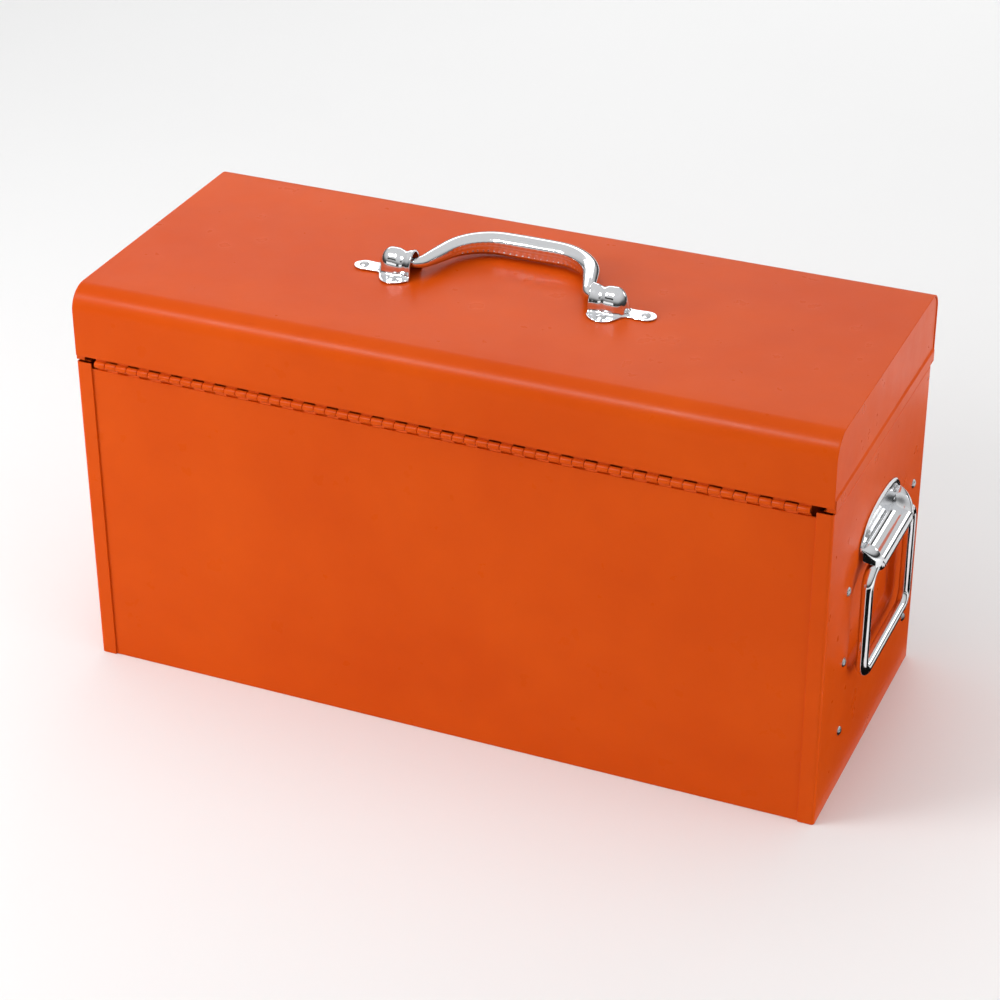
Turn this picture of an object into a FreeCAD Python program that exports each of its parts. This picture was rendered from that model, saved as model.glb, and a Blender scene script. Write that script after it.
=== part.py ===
import FreeCAD, Part
import math
import os

import Sketcher

# Steel tool chest: a sheet-metal case with three drawers under a lidded top
# compartment, a lift-out tray, a full-length piano hinge along the rear, a
# swinging top handle, drop handles on both ends and draw latches in front.
# Frame: +X along the length, -Y to the front (drawers), +Z up. The origin is
# the centre of the case's underside. "left" is the -X end.

doc = FreeCAD.newDocument("ToolChest")
Vector = FreeCAD.Vector

SIZES = {
    # case
    "case_length": 520, "case_depth": 215, "case_height": 228, "wall": 1.2,
    "rear_lip": 11, "front_lip": 12, "top_lip": 8, "corner_radius": 2,
    "base_flange": 8, "upstand_drop": 4,
    "recess_width": 106, "recess_bottom": 81.5, "recess_top": 146,
    "recess_depth": 4, "recess_radius": 9, "lip_setback": 3.6,
    # lid
    "overall_height": 280, "lid_overhang": 5, "lid_gap": 1,
    "lid_rear_radius": 16, "lid_front_radius": 12,
    "lid_end_inset": 0.6, "end_band": 9, "end_joggle": 1.2,
    "trim_rise": 8, "trim_tall": 20, "trim_proud": 3,
    # piano hinge
    "hinge_rise": 0.9, "hinge_margin": 14, "knuckle": 8.05, "knuckle_gap": 0.3,
    "barrel_radius": 2.3, "hinge_pin_radius": 1.1, "pin_clearance": 0.05,
    "leaf_wall": 1, "leaf_width": 15, "barrel_proud": 0.1, "sweep_gap": 1.3,
    # drawers and runners
    "drawer_base": 9.2, "drawer_pitch": 52.5, "front_height": 50, "front_gap": 1,
    "front_thickness": 10, "pan_height": 44, "pan_lift": 2, "pan_wall": 1,
    "pan_side_gap": 0.5, "pan_rear_gap": 6, "pan_radius": 3,
    "runner_rise": 35.3, "runner_half": 5, "runner_gap": 0.5, "runner_wall": 1.2,
    "runner_reach": 6, "runner_inset": 8, "runner_spacer": 5, "slide_inset": 2,
    "pull_height": 14, "pull_reach": 10, "pull_inset": 12,
    # tray
    "tray_rest_depth": 38, "rest_reach": 16, "rest_drop": 14, "rest_gap": 0.1,
    "tray_end_gap": 10.5, "tray_side_gap": 9, "tray_height": 38,
    "tray_radius": 8, "tray_rim": 2,
    "tray_grip_half": 62, "tray_grip_foot": 16, "tray_grip_width": 18,
    "tray_grip_rise": 70, "strap": 2, "divider_place": 120, "divider_height": 30,
    # rivets
    "rivet_head": 3.2, "rivet_rise": 1.7, "rivet_shank": 1.6, "hole_clearance": 0.05,
    "rivet_rear": 62.5, "rivet_front": 84.5, "overrun": 1,
    # top handle and its caps
    "grip_half_span": 66, "grip_drop": 50, "grip_end_radius": 3.3,
    "grip_middle_radius": 8, "grip_end_bend": 9, "grip_crown_bend": 34,
    "grip_turn": 72, "handle_axis_rise": 8.7, "trunnion": 17, "trunnion_gap": 0.5,
    "cap_mouth": 62.5, "cap_block": 16, "cap_end": 89, "cap_sheet": 1.2,
    "hood_radius": 9.2, "cap_side_rivet_x": 73.5, "cap_side_rivet_y": 12.6,
    "cap_end_rivet": 99.3, "cap_ear": 6.8, "cap_neck_start": 85, "cap_neck_half": 5.4,
    # side handles
    "bail_axis_out": 8.5, "bail_axis_height": 155, "bail_half_width": 49,
    "bail_drop": 74, "bail_radius": 4, "bail_corner": 10,
    "socket_radius": 6, "socket_half": 38, "plate_half": 44, "plate_top": 187,
    "plate_low": 150, "plate_sheet": 1.5, "plate_shoulder": 19,
    "plate_knee": 26.4, "plate_knee_drop": 5.7, "plate_crown": 11,
    "side_rivet_half": 31, "side_rivet_height": 175,
    # draw latches
    "latch_place": 150, "latch_half": 13, "latch_low_drop": 36, "latch_top_drop": 6,
    "latch_axis_drop": 14, "latch_standoff": 10, "latch_pin": 1.5,
    "latch_rivet_rise": 4, "latch_ear_reach": 3, "latch_ear_half": 5,
    "lever_half": 11.3, "lever_drop": 30, "lever_front": 4, "lever_lip": 3,
    "cheek_drop": 12, "cheek_rise": 3,
    "loop_drop": 22, "loop_out": 16.2, "loop_length": 35, "loop_half": 9,
    "loop_wire": 1.25, "loop_corner": 2.5, "lug_radius": 2.4, "lug_half": 5.5,
    "keeper_half": 10, "keeper_rise": 10, "keeper_tall": 16, "keeper_reach": 5,
    "keeper_hook_half": 6, "keeper_hook_rise": 3,
}

sheet = doc.addObject("Spreadsheet::Sheet", "Size")
for row, (alias, number) in enumerate(SIZES.items(), start=1):
    sheet.set(f"A{row}", alias.replace("_", " "))
    sheet.set(f"B{row}", str(number))
    sheet.setAlias(f"B{row}", alias)
doc.recompute()


def size(alias):
    """The number in the sheet's cell with this alias."""
    return float(sheet.get(alias))


def cell(text):
    """An expression in which every alias names its cell of the sheet."""
    words = []
    for word in text.replace("(", " ( ").replace(")", " ) ").split():
        words.append(f"Size.{word}" if word in SIZES else word)
    return " ".join(words)


# Places that several sub-parts share, as expressions over the sheet.
HALF_X = "case_length / 2"
HALF_Y = "case_depth / 2"
INNER_X = "(case_length / 2 - wall)"
FRONT_FACE = "(- case_depth / 2 + wall)"
FRONT_INSIDE = "(- case_depth / 2 + 2 * wall)"
REAR_INSIDE = "(case_depth / 2 - 2 * wall)"
HINGE_Z = "(case_height + hinge_rise)"
HINGE_Y = "(case_depth / 2 + barrel_proud)"
LID_FRONT = "(- case_depth / 2 - lid_overhang)"
SHELF = "(drawer_base + 3 * drawer_pitch)"
REAR_PANEL_TOP = "(case_height - upstand_drop)"
LATCH_Y = "(- case_depth / 2 + wall - latch_standoff)"
LOOP_Y = "(- case_depth / 2 + wall - loop_out)"
HANDLE_Z = "(overall_height + handle_axis_rise)"
RUNNER_X = "(case_length / 2 - front_lip)"
REST_Z = "(case_height - tray_rest_depth)"
TRAY_X = "(case_length / 2 - tray_end_gap)"
TRAY_Y = "(case_depth / 2 - tray_side_gap)"
TRIM_Z = "(case_height + trim_rise)"
LATCH_LOW = "(case_height - latch_low_drop)"
LATCH_TOP = "(case_height - latch_top_drop)"
LATCH_Z = "(case_height - latch_axis_drop)"
LOOP_Z = "(case_height - loop_drop)"
KEEPER_Z = "(case_height + keeper_rise)"
RIVET_COLUMNS = ("- rivet_front", "rivet_rear")
SIDES = (("left", -1), ("right", 1))
DRAWERS = ("lower", "middle", "upper")

NEAR = 0.01  # mm within which a corner counts as being at a place
ALIGNED = 0.999  # least cosine for two directions to count as one
GRIP_RINGS = 41
GRIP_FULLNESS = 0.8
SUBPARTS = []


# ---- helpers -----------------------------------------------------------------


def span(name, x, y, z):
    """A box between two expressions on each axis."""
    box = doc.addObject("Part::Box", name)
    for prop, axis, (low, high) in zip(("Length", "Width", "Height"), "xyz", (x, y, z)):
        box.setExpression(prop, cell(f"( {high} ) - ( {low} )"))
        box.setExpression(f"Placement.Base.{axis}", cell(low))
    return box


def sided(side, near, far):
    """The span from near to far on one side of the middle, lowest first."""
    return (near, far) if side > 0 else (f"- ( {far} )", f"- ( {near} )")


TURNS = {
    "x": FreeCAD.Rotation(Vector(0, 1, 0), 90),
    "y": FreeCAD.Rotation(Vector(1, 0, 0), -90),
    "z": FreeCAD.Rotation(),
}


def rod(name, axis, radius, base, length):
    """A cylinder that starts at base and runs along +axis."""
    cylinder = doc.addObject("Part::Cylinder", name)
    cylinder.Placement = FreeCAD.Placement(Vector(), TURNS[axis])
    cylinder.setExpression("Radius", cell(radius))
    cylinder.setExpression("Height", cell(length))
    for letter, place in zip("xyz", base):
        cylinder.setExpression(f"Placement.Base.{letter}", cell(place))
    return cylinder


def join(name, pieces):
    """One solid, or one group of solids, from several pieces."""
    union = doc.addObject("Part::MultiFuse", name)
    union.Shapes = pieces
    union.Refine = True
    return union


def carve(name, base, tools):
    """The base with the tools cut away."""
    tool = tools[0] if len(tools) == 1 else join(f"{name}_tools", tools)
    cut = doc.addObject("Part::Cut", name)
    cut.Base = base
    cut.Tool = tool
    return cut


def straight(edge, direction):
    """Whether an edge is a line along a direction."""
    if edge.Curve.TypeId != "Part::GeomLine":
        return False
    return abs(edge.tangentAt(edge.FirstParameter).dot(direction)) > ALIGNED


def new_body(name):
    return doc.addObject("PartDesign::Body", name)


def outline(body, name, role, points, offset="0", circles=()):
    """A closed sketch of straight runs on an origin plane, every corner bound to the sheet."""
    sketch = body.newObject("Sketcher::SketchObject", name)
    plane = next(f for f in body.Origin.OriginFeatures if f.Role == role)
    sketch.AttachmentSupport = [(plane, "")]
    sketch.MapMode = "FlatFace"
    sketch.setExpression("AttachmentOffset.Base.z", cell(offset))
    count = len(points)
    turns = [2 * math.pi * n / count for n in range(count)]
    ring = [Vector(100 * math.cos(turn), 100 * math.sin(turn), 0) for turn in turns]
    for n in range(count):
        sketch.addGeometry(Part.LineSegment(ring[n], ring[(n + 1) % count]), False)
    for n in range(count):
        sketch.addConstraint(Sketcher.Constraint("Coincident", n, 2, (n + 1) % count, 1))
    for n, point in enumerate(points):
        for kind, start, place in zip(("DistanceX", "DistanceY"), ring[n], point):
            index = sketch.addConstraint(Sketcher.Constraint(kind, n, 1, start))
            sketch.setExpression(f"Constraints[{index}]", cell(place))
    for n, (x, y, radius) in enumerate(circles, start=count):
        sketch.addGeometry(Part.Circle(Vector(n, 0, 0), Vector(0, 0, 1), 1), False)
        for kind, place in (("DistanceX", x), ("DistanceY", y)):
            index = sketch.addConstraint(Sketcher.Constraint(kind, n, 3, 1.0))
            sketch.setExpression(f"Constraints[{index}]", cell(place))
        index = sketch.addConstraint(Sketcher.Constraint("Radius", n, 1.0))
        sketch.setExpression(f"Constraints[{index}]", cell(radius))
    return sketch


def rectangle(x, y):
    """The four corners of a rectangle from two spans."""
    return [(x[0], y[0]), (x[1], y[0]), (x[1], y[1]), (x[0], y[1])]


def pad(body, sketch, length, reverse=False):
    feature = body.newObject("PartDesign::Pad", f"{sketch.Name}_pad")
    feature.Profile = sketch
    feature.setExpression("Length", cell(length))
    feature.Reversed = reverse
    sketch.Visibility = False
    return feature


def pocket(body, sketch, length, reverse=False):
    feature = body.newObject("PartDesign::Pocket", f"{sketch.Name}_pocket")
    feature.Profile = sketch
    feature.setExpression("Length", cell(length))
    feature.Reversed = reverse
    doc.recompute()
    return feature


def round_edges(body, name, radius, test):
    """Rounds the edges of the body so far that pass the test."""
    doc.recompute()
    tip = body.Tip
    chosen = [f"Edge{n}" for n, edge in enumerate(tip.Shape.Edges, start=1) if test(edge)]
    fillet = body.newObject("PartDesign::Fillet", name)
    fillet.Base = (tip, chosen)
    fillet.setExpression("Radius", cell(radius))
    return fillet


def at(edge, axis, places):
    """Whether an edge's middle lies at one of the places on an axis."""
    middle = getattr(edge.CenterOfMass, axis)
    return any(abs(middle - place) < NEAR for place in places)


def rivet(point, outward, grip):
    """A domed rivet: its head stands on the surface at point, its shank fills the hole behind."""
    head, rise, shank = size("rivet_head"), size("rivet_rise"), size("rivet_shank")
    dome_radius = (head ** 2 + rise ** 2) / (2 * rise)
    latitude = math.degrees(math.asin((dome_radius - rise) / dome_radius))
    centre = point + outward * (rise - dome_radius)
    dome = Part.makeSphere(dome_radius, centre, outward, latitude, 90, 360)
    stem = Part.makeCylinder(shank, grip + rise / 2, point - outward * grip, outward)
    return dome.fuse(stem)


def rivets(name, places, outward, grip):
    """A group of equal rivets in one node."""
    node = doc.addObject("Part::Feature", name)
    node.Shape = Part.makeCompound([rivet(Vector(*place), Vector(*outward), grip) for place in places])
    return node


def holes(name, axis, places, length):
    """Clearance cylinders for rivet shanks, starting at each place and running along +axis."""
    return [rod(f"{name}_{n}", axis, "rivet_shank + hole_clearance", place, length)
            for n, place in enumerate(places)]


def finish_part(node, label):
    """Marks an object as a sub-part."""
    node.Label = label
    SUBPARTS.append(node)


# ---- case --------------------------------------------------------------------


def runner_z(level):
    return f"(drawer_base + {level} * drawer_pitch + runner_rise)"


def end_panel(word, side):
    """End wall with its rear, front and top lips and the pressed finger recess, all one sheet."""
    body = new_body(f"{word}_end")
    outer, inner = f"{side} * case_length / 2", f"{side} * {INNER_X}"
    rear, front = HALF_Y, f"- {HALF_Y}"
    rear_edge = f"{side} * (case_length / 2 - rear_lip)"
    front_edge = f"{side} * (case_length / 2 - front_lip)"
    plan = [(outer, front), (outer, rear), (rear_edge, rear), (rear_edge, f"{rear} - wall"),
            (inner, f"{rear} - wall"), (inner, f"{front} + wall"), (front_edge, f"{front} + wall"),
            (front_edge, front)]
    pad(body, outline(body, f"{word}_end_plan", "XY_Plane", plan), "case_height")
    corner_x = side * size("case_length") / 2
    round_edges(body, f"{word}_end_corners", "corner_radius",
                lambda e: straight(e, Vector(0, 0, 1)) and at(e, "x", [corner_x]))
    lip = rectangle(sided(side, "case_length / 2 - top_lip", INNER_X),
                    (f"- {HALF_Y} + lip_setback", f"{REAR_INSIDE} - 2 * wall"))
    pad(body, outline(body, f"{word}_end_top_lip", "XY_Plane", lip, "case_height - wall"), "wall")
    dish = rectangle(("- recess_width / 2 - wall", "recess_width / 2 + wall"),
                     ("recess_bottom - wall", "recess_top + wall"))
    back = f"{side} * {INNER_X}"
    pad(body, outline(body, f"{word}_end_dish", "YZ_Plane", dish, back), "recess_depth", side > 0)
    hollow = rectangle(("- recess_width / 2", "recess_width / 2"), ("recess_bottom", "recess_top"))
    pocket(body, outline(body, f"{word}_end_recess", "YZ_Plane", hollow, outer), "recess_depth", side < 0)
    middle_x = side * (size("case_length") - size("recess_depth")) / 2
    dish_x = middle_x - side * size("wall")
    for tag, x, grow, radius in (("recess", middle_x, 0, "recess_radius"),
                                 ("dish", dish_x, size("wall"), "recess_radius + wall")):
        corner_y = size("recess_width") / 2 + grow
        round_edges(body, f"{word}_end_{tag}_corners", radius,
                    lambda e, x=x, y=corner_y: straight(e, Vector(1, 0, 0)) and at(e, "y", [-y, y]))
    start = f"{side} * case_length / 2 - 2 * wall"
    places = [(start, y, runner_z(level)) for y in RIVET_COLUMNS for level in range(3)]
    places += [(start, f"{n} * side_rivet_half", "side_rivet_height") for n in (-1, 1)]
    drilled = carve(f"{word}_end_panel", body, holes(f"{word}_end_hole", "x", places, "4 * wall"))
    finish_part(drilled, f"{word}_end_panel")


def bottom_panel():
    """Floor of the case: a shallow pan whose flanges are welded inside the walls."""
    body = new_body("bottom")
    x = (f"- {INNER_X}", INNER_X)
    y = (FRONT_FACE, REAR_INSIDE)
    pad(body, outline(body, "bottom_plan", "XY_Plane", rectangle(x, y)), "base_flange")
    inner = rectangle((f"{x[0]} + wall", f"{x[1]} - wall"), (f"{y[0]} + wall", f"{y[1]} - wall"))
    pocket(body, outline(body, "bottom_inside", "XY_Plane", inner, "base_flange"), "base_flange - wall")
    finish_part(body, "bottom_panel")


def case_panels():
    """Rear wall, upper front wall, and the floor of the top compartment."""
    x = (f"- {INNER_X}", INNER_X)
    rear = span("rear_panel", x, (REAR_INSIDE, f"{HALF_Y} - wall"), ("0", REAR_PANEL_TOP))
    finish_part(rear, "rear_panel")
    front = span("front_upper_blank", x, (FRONT_FACE, FRONT_INSIDE), (SHELF, "case_height"))
    start = "- case_depth / 2"
    places = [(f"{side} * latch_place + {n} * latch_half / 2", start, f"{LATCH_LOW} + latch_rivet_rise")
              for _, side in SIDES for n in (-1, 1)]
    drilled = carve("front_upper_panel", front, holes("front_hole", "y", places, "4 * wall"))
    finish_part(drilled, "front_upper_panel")
    floor = span("compartment_floor", x, (FRONT_INSIDE, REAR_INSIDE), (SHELF, f"{SHELF} + wall"))
    finish_part(floor, "compartment_floor")


def tray_rest(word, side):
    """Angle on the end wall that carries one end of the tray."""
    y = (f"- {TRAY_Y}", TRAY_Y)
    leg = span(f"{word}_rest_leg", sided(side, f"{INNER_X} - wall", INNER_X), y,
               (f"{REST_Z} - rest_drop", REST_Z))
    ledge = span(f"{word}_rest_ledge", sided(side, f"{INNER_X} - rest_reach", INNER_X), y,
                 (f"{REST_Z} - wall", REST_Z))
    start = f"{side} * (case_length / 2 - 2 * wall) - 2 * wall"
    places = [(start, f"{n} * side_rivet_half", "side_rivet_height") for n in (-1, 1)]
    blank = join(f"{word}_rest_angle", [leg, ledge])
    rest = carve(f"{word}_tray_rest", blank, holes(f"{word}_rest_hole", "x", places, "4 * wall"))
    finish_part(rest, f"{word}_tray_rest")


def runner(word, side, level):
    """Fixed drawer runner: a channel open towards the drawer. Two spacers hold it off the end wall,
    clear of the pressed recess, so that the moving runner passes the case's front lip."""
    z = runner_z(level)
    name = f"{DRAWERS[level]}_{word}_runner"
    y = (f"{FRONT_INSIDE} + runner_inset", f"{REAR_INSIDE} - runner_inset")
    outer_half = "(runner_half + runner_gap + runner_wall)"
    web = span(f"{name}_web", sided(side, f"{RUNNER_X} - runner_wall", RUNNER_X), y,
               (f"{z} - {outer_half}", f"{z} + {outer_half}"))
    flange_x = sided(side, f"{RUNNER_X} - runner_reach", RUNNER_X)
    foot, head = f"{z} - {outer_half}", f"{z} + {outer_half}"
    low = span(f"{name}_low", flange_x, y, (foot, f"{foot} + runner_wall"))
    high = span(f"{name}_high", flange_x, y, (f"{head} - runner_wall", head))
    start = f"{RUNNER_X} - runner_wall" if side > 0 else f"- {INNER_X}"
    spacers = [rod(f"{name}_spacer_{n}", "x", "runner_spacer", (start, place, z),
                   f"{INNER_X} - {RUNNER_X} + runner_wall") for n, place in enumerate(RIVET_COLUMNS)]
    channel = join(f"{name}_channel", [web, low, high] + spacers)
    start = f"{RUNNER_X} - 2 * runner_wall" if side > 0 else f"- {INNER_X} - runner_wall"
    places = [(start, place, z) for place in RIVET_COLUMNS]
    drill = holes(f"{name}_hole", "x", places, f"{INNER_X} - {RUNNER_X} + 4 * runner_wall")
    finish_part(carve(name, channel, drill), name)


def end_rivets(word, side):
    """Rivets that hold the runners, and those of the side handle, on one end wall."""
    face = side * size("case_length") / 2
    grip = size("front_lip") + size("runner_wall")
    levels = [size("drawer_base") + n * size("drawer_pitch") + size("runner_rise") for n in range(3)]
    places = [(face, y, z) for y in (-size("rivet_front"), size("rivet_rear")) for z in levels]
    node = rivets(f"{word}_runner_rivets", places, (side, 0, 0), grip)
    finish_part(node, f"{word}_runner_rivets")
    face += side * size("plate_sheet")
    grip = 2 * size("wall") + size("plate_sheet")
    places = [(face, n * size("side_rivet_half"), size("side_rivet_height")) for n in (-1, 1)]
    node = rivets(f"{word}_handle_rivets", places, (side, 0, 0), grip)
    finish_part(node, f"{word}_handle_rivets")


# ---- piano hinge -------------------------------------------------------------


def knuckles():
    """(index, start, end) of every knuckle along X; an odd count, so both ends are on one leaf."""
    pitch = size("knuckle")
    usable = size("case_length") - 2 * size("hinge_margin")
    count = 2 * int((usable / pitch - 1) / 2) + 1
    first = -count * pitch / 2
    half_gap = size("knuckle_gap") / 2
    return [(n, first + n * pitch + half_gap, first + (n + 1) * pitch - half_gap) for n in range(count)]


def hinge_leaf(name, upper):
    """A leaf with its rolled knuckles: the upper one lies inside the lid's rear wall, the lower inside
    the case's."""
    mine = [k for k in knuckles() if (k[0] % 2 == 0) == upper]
    first, last = knuckles()[0][1], knuckles()[-1][2]
    y, z = size("case_depth") / 2 + size("barrel_proud"), size("case_height") + size("hinge_rise")
    barrel, gap, leaf = size("barrel_radius"), size("sweep_gap"), size("leaf_wall")
    inner = y - barrel
    reach = barrel + gap
    solids = []
    for _, start, end in mine:
        solids.append(Part.makeCylinder(barrel, end - start, Vector(start, y, z), Vector(1, 0, 0)))
        low = z if upper else z - reach - leaf
        solids.append(Part.makeBox(end - start, leaf, reach + leaf, Vector(start, inner, low)))
    width = size("leaf_width")
    if upper:
        solids.append(Part.makeBox(last - first, leaf, width, Vector(first, inner, z + reach)))
    else:
        panel_inside = size("case_depth") / 2 - 2 * size("wall")
        top = size("case_height") - size("upstand_drop")
        step = inner + leaf - (panel_inside - leaf)
        back = panel_inside - leaf
        solids.append(Part.makeBox(last - first, step, z - reach - top, Vector(first, back, top)))
        solids.append(Part.makeBox(last - first, leaf, width, Vector(first, back, top - width)))
    shape = solids[0].fuse(solids[1:]).removeSplitter()
    spare = size("overrun")
    bore = Part.makeCylinder(size("hinge_pin_radius") + size("pin_clearance"), last - first + 2 * spare,
                             Vector(first - spare, y, z), Vector(1, 0, 0))
    node = doc.addObject("Part::Feature", name)
    node.Shape = shape.cut(bore)
    finish_part(node, name)


def hinge_pin():
    run = f"({len(knuckles())} * knuckle - knuckle_gap)"
    pin = rod("hinge_pin", "x", "hinge_pin_radius", (f"- {run} / 2", HINGE_Y, HINGE_Z), run)
    finish_part(pin, "hinge_pin")


# ---- lid ---------------------------------------------------------------------


def lid_profile(inset, low):
    """The lid's side view as a closed band or a full face, inset from its outside."""
    return [(f"{HALF_Y} - {inset}", low), (f"{HALF_Y} - {inset}", f"overall_height - {inset}"),
            (f"{LID_FRONT} + {inset}", f"overall_height - {inset}"), (f"{LID_FRONT} + {inset}", low)]


def lid_shell():
    """One sheet wrapped over rear, top and front, with wide bends along both top edges."""
    body = new_body("lid_wrap")
    front_low = "(case_height + lid_gap)"
    rear_low = f"({HINGE_Z} + barrel_radius + sweep_gap)"
    outer = lid_profile("0", front_low)
    outer[0] = (HALF_Y, rear_low)
    inner = lid_profile("wall", front_low)
    inner[0] = (f"{HALF_Y} - wall", rear_low)
    ring = outer + inner[::-1]
    pad(body, outline(body, "lid_side", "YZ_Plane", ring, f"- {HALF_X}"), "case_length")
    top = size("overall_height")
    front = -size("case_depth") / 2 - size("lid_overhang")
    wall = size("wall")
    along = Vector(1, 0, 0)
    for part, y, z, radius in (
        ("rear_outside", size("case_depth") / 2, top, "lid_rear_radius"),
        ("rear_inside", size("case_depth") / 2 - wall, top - wall, "lid_rear_radius - wall"),
        ("front_outside", front, top, "lid_front_radius"),
        ("front_inside", front + wall, top - wall, "lid_front_radius - wall"),
    ):
        round_edges(body, f"lid_{part}", radius,
                    lambda e, y=y, z=z: straight(e, along) and at(e, "y", [y]) and at(e, "z", [z]))
    places = []
    for _, side in SIDES:
        places.append((f"{side} * cap_end_rivet", "0", "overall_height - 2 * wall"))
        places += [(f"{side} * cap_side_rivet_x", f"{n} * cap_side_rivet_y", "overall_height - 2 * wall")
                   for n in (-1, 1)]
    drilled = carve("lid_shell", body, holes("lid_hole", "z", places, "4 * wall"))
    finish_part(drilled, "lid_shell")


def lid_end(word, side):
    """End cap of the lid, set just inside the wrapped sheet; its foot steps out over the case's end."""
    body = new_body(f"lid_{word}_cap")
    foot = "(case_height + lid_gap)"
    band_top = f"({foot} + end_band)"
    face = "(case_length / 2 - lid_end_inset)"
    plate = lid_profile("wall", band_top)
    offset = f"{side} * {face}"
    pad(body, outline(body, f"lid_{word}_face", "YZ_Plane", plate, offset), "wall", side > 0)
    along = Vector(1, 0, 0)
    top = size("overall_height") - size("wall")
    rear_y = size("case_depth") / 2 - size("wall")
    front_y = -size("case_depth") / 2 - size("lid_overhang") + size("wall")
    corners = (("rear", rear_y, "lid_rear_radius - wall"), ("front", front_y, "lid_front_radius - wall"))
    for part, y, radius in corners:
        round_edges(body, f"lid_{word}_{part}_corner", radius,
                    lambda e, y=y: straight(e, along) and at(e, "y", [y]) and at(e, "z", [top]))
    band_face = f"({face} + end_joggle)"
    ends = (f"{LID_FRONT} + wall", f"{HALF_Y} - wall")
    step = rectangle(sided(side, f"{face} - wall", band_face), ends)
    pad(body, outline(body, f"lid_{word}_step", "XY_Plane", step, f"{band_top} - wall"), "wall")
    band = rectangle(sided(side, f"{band_face} - wall", band_face), ends)
    pad(body, outline(body, f"lid_{word}_band", "XY_Plane", band, foot), "end_band")
    finish_part(body, f"lid_{word}_end")


def lid_trim():
    """Bright strip along the lid's front, hollow behind: the edge that the fingers lift."""
    body = new_body("lid_trim_strip")
    out, back = f"({LID_FRONT} - trim_proud)", LID_FRONT
    low, high = TRIM_Z, f"({TRIM_Z} + trim_tall)"
    ring = [(back, low), (out, low), (out, high), (back, high), (back, f"{high} - wall"),
            (f"{out} + wall", f"{high} - wall"), (f"{out} + wall", f"{low} + wall"), (back, f"{low} + wall")]
    side = outline(body, "lid_trim_side", "YZ_Plane", ring, f"- {HALF_X} + wall")
    pad(body, side, "case_length - 2 * wall")
    finish_part(body, "lid_front_trim")


# ---- top handle --------------------------------------------------------------


def handle_cap(word, side):
    """Pressed cap that holds one end of the top handle: a flat foot with three ears and a raised hood."""
    top = "overall_height"
    foot_top = f"({top} + cap_sheet)"
    pieces = [rod(f"{word}_cap_ear_end", "z", "cap_ear", (f"{side} * cap_end_rivet", "0", top), "cap_sheet")]
    for tag, n in (("front", -1), ("rear", 1)):
        pieces.append(rod(f"{word}_cap_ear_{tag}", "z", "cap_ear",
                          (f"{side} * cap_side_rivet_x", f"{n} * cap_side_rivet_y", top), "cap_sheet"))
    pieces.append(span(f"{word}_cap_neck", sided(side, "cap_neck_start", "cap_end_rivet"),
                       ("- cap_neck_half", "cap_neck_half"), (top, foot_top)))
    pieces.append(span(f"{word}_cap_foot", sided(side, "cap_mouth", "cap_end"),
                       ("- hood_radius", "hood_radius"), (top, foot_top)))
    start = "cap_mouth" if side > 0 else "- cap_end"
    pieces.append(rod(f"{word}_cap_arch", "x", "hood_radius", (start, "0", HANDLE_Z), "cap_end - cap_mouth"))
    pieces.append(span(f"{word}_cap_sides", sided(side, "cap_mouth", "cap_end"),
                       ("- hood_radius", "hood_radius"), (top, HANDLE_Z)))
    blank = join(f"{word}_cap_blank", pieces)
    room = "(cap_end - cap_mouth - cap_block + overrun)"
    start = "(cap_mouth - overrun)" if side > 0 else "(cap_block - cap_end)"
    tools = [
        rod(f"{word}_cap_room", "x", "hood_radius - cap_sheet", (start, "0", HANDLE_Z), room),
        span(f"{word}_cap_gap", sided(side, "cap_mouth - overrun", "cap_end - cap_block"),
             ("- hood_radius + cap_sheet", "hood_radius - cap_sheet"), (foot_top, HANDLE_Z)),
        span(f"{word}_cap_under", sided(side, "cap_mouth - overrun", "cap_end_rivet + 2 * cap_ear"),
             ("- 2 * hood_radius", "2 * hood_radius"), (f"{top} - 2 * hood_radius", top)),
        rod(f"{word}_cap_bore", "x", "grip_end_radius + pin_clearance",
            ("cap_mouth" if side > 0 else "- (grip_half_span + trunnion + trunnion_gap)", "0", HANDLE_Z),
            "grip_half_span + trunnion + trunnion_gap - cap_mouth"),
    ]
    places = [(f"{side} * cap_end_rivet", "0", f"{top} - wall")]
    places += [(f"{side} * cap_side_rivet_x", f"{n} * cap_side_rivet_y", f"{top} - wall") for n in (-1, 1)]
    tools += holes(f"{word}_cap_hole", "z", places, "4 * wall")
    finish_part(carve(f"{word}_handle_cap", blank, tools), f"{word}_handle_cap")
    face = size("overall_height") + size("cap_sheet")
    spots = [(side * size("cap_end_rivet"), 0, face)]
    spots += [(side * size("cap_side_rivet_x"), n * size("cap_side_rivet_y"), face) for n in (-1, 1)]
    node = rivets(f"{word}_cap_rivets", spots, (0, 0, 1), size("cap_sheet") + size("wall"))
    finish_part(node, f"{word}_cap_rivets")


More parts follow.
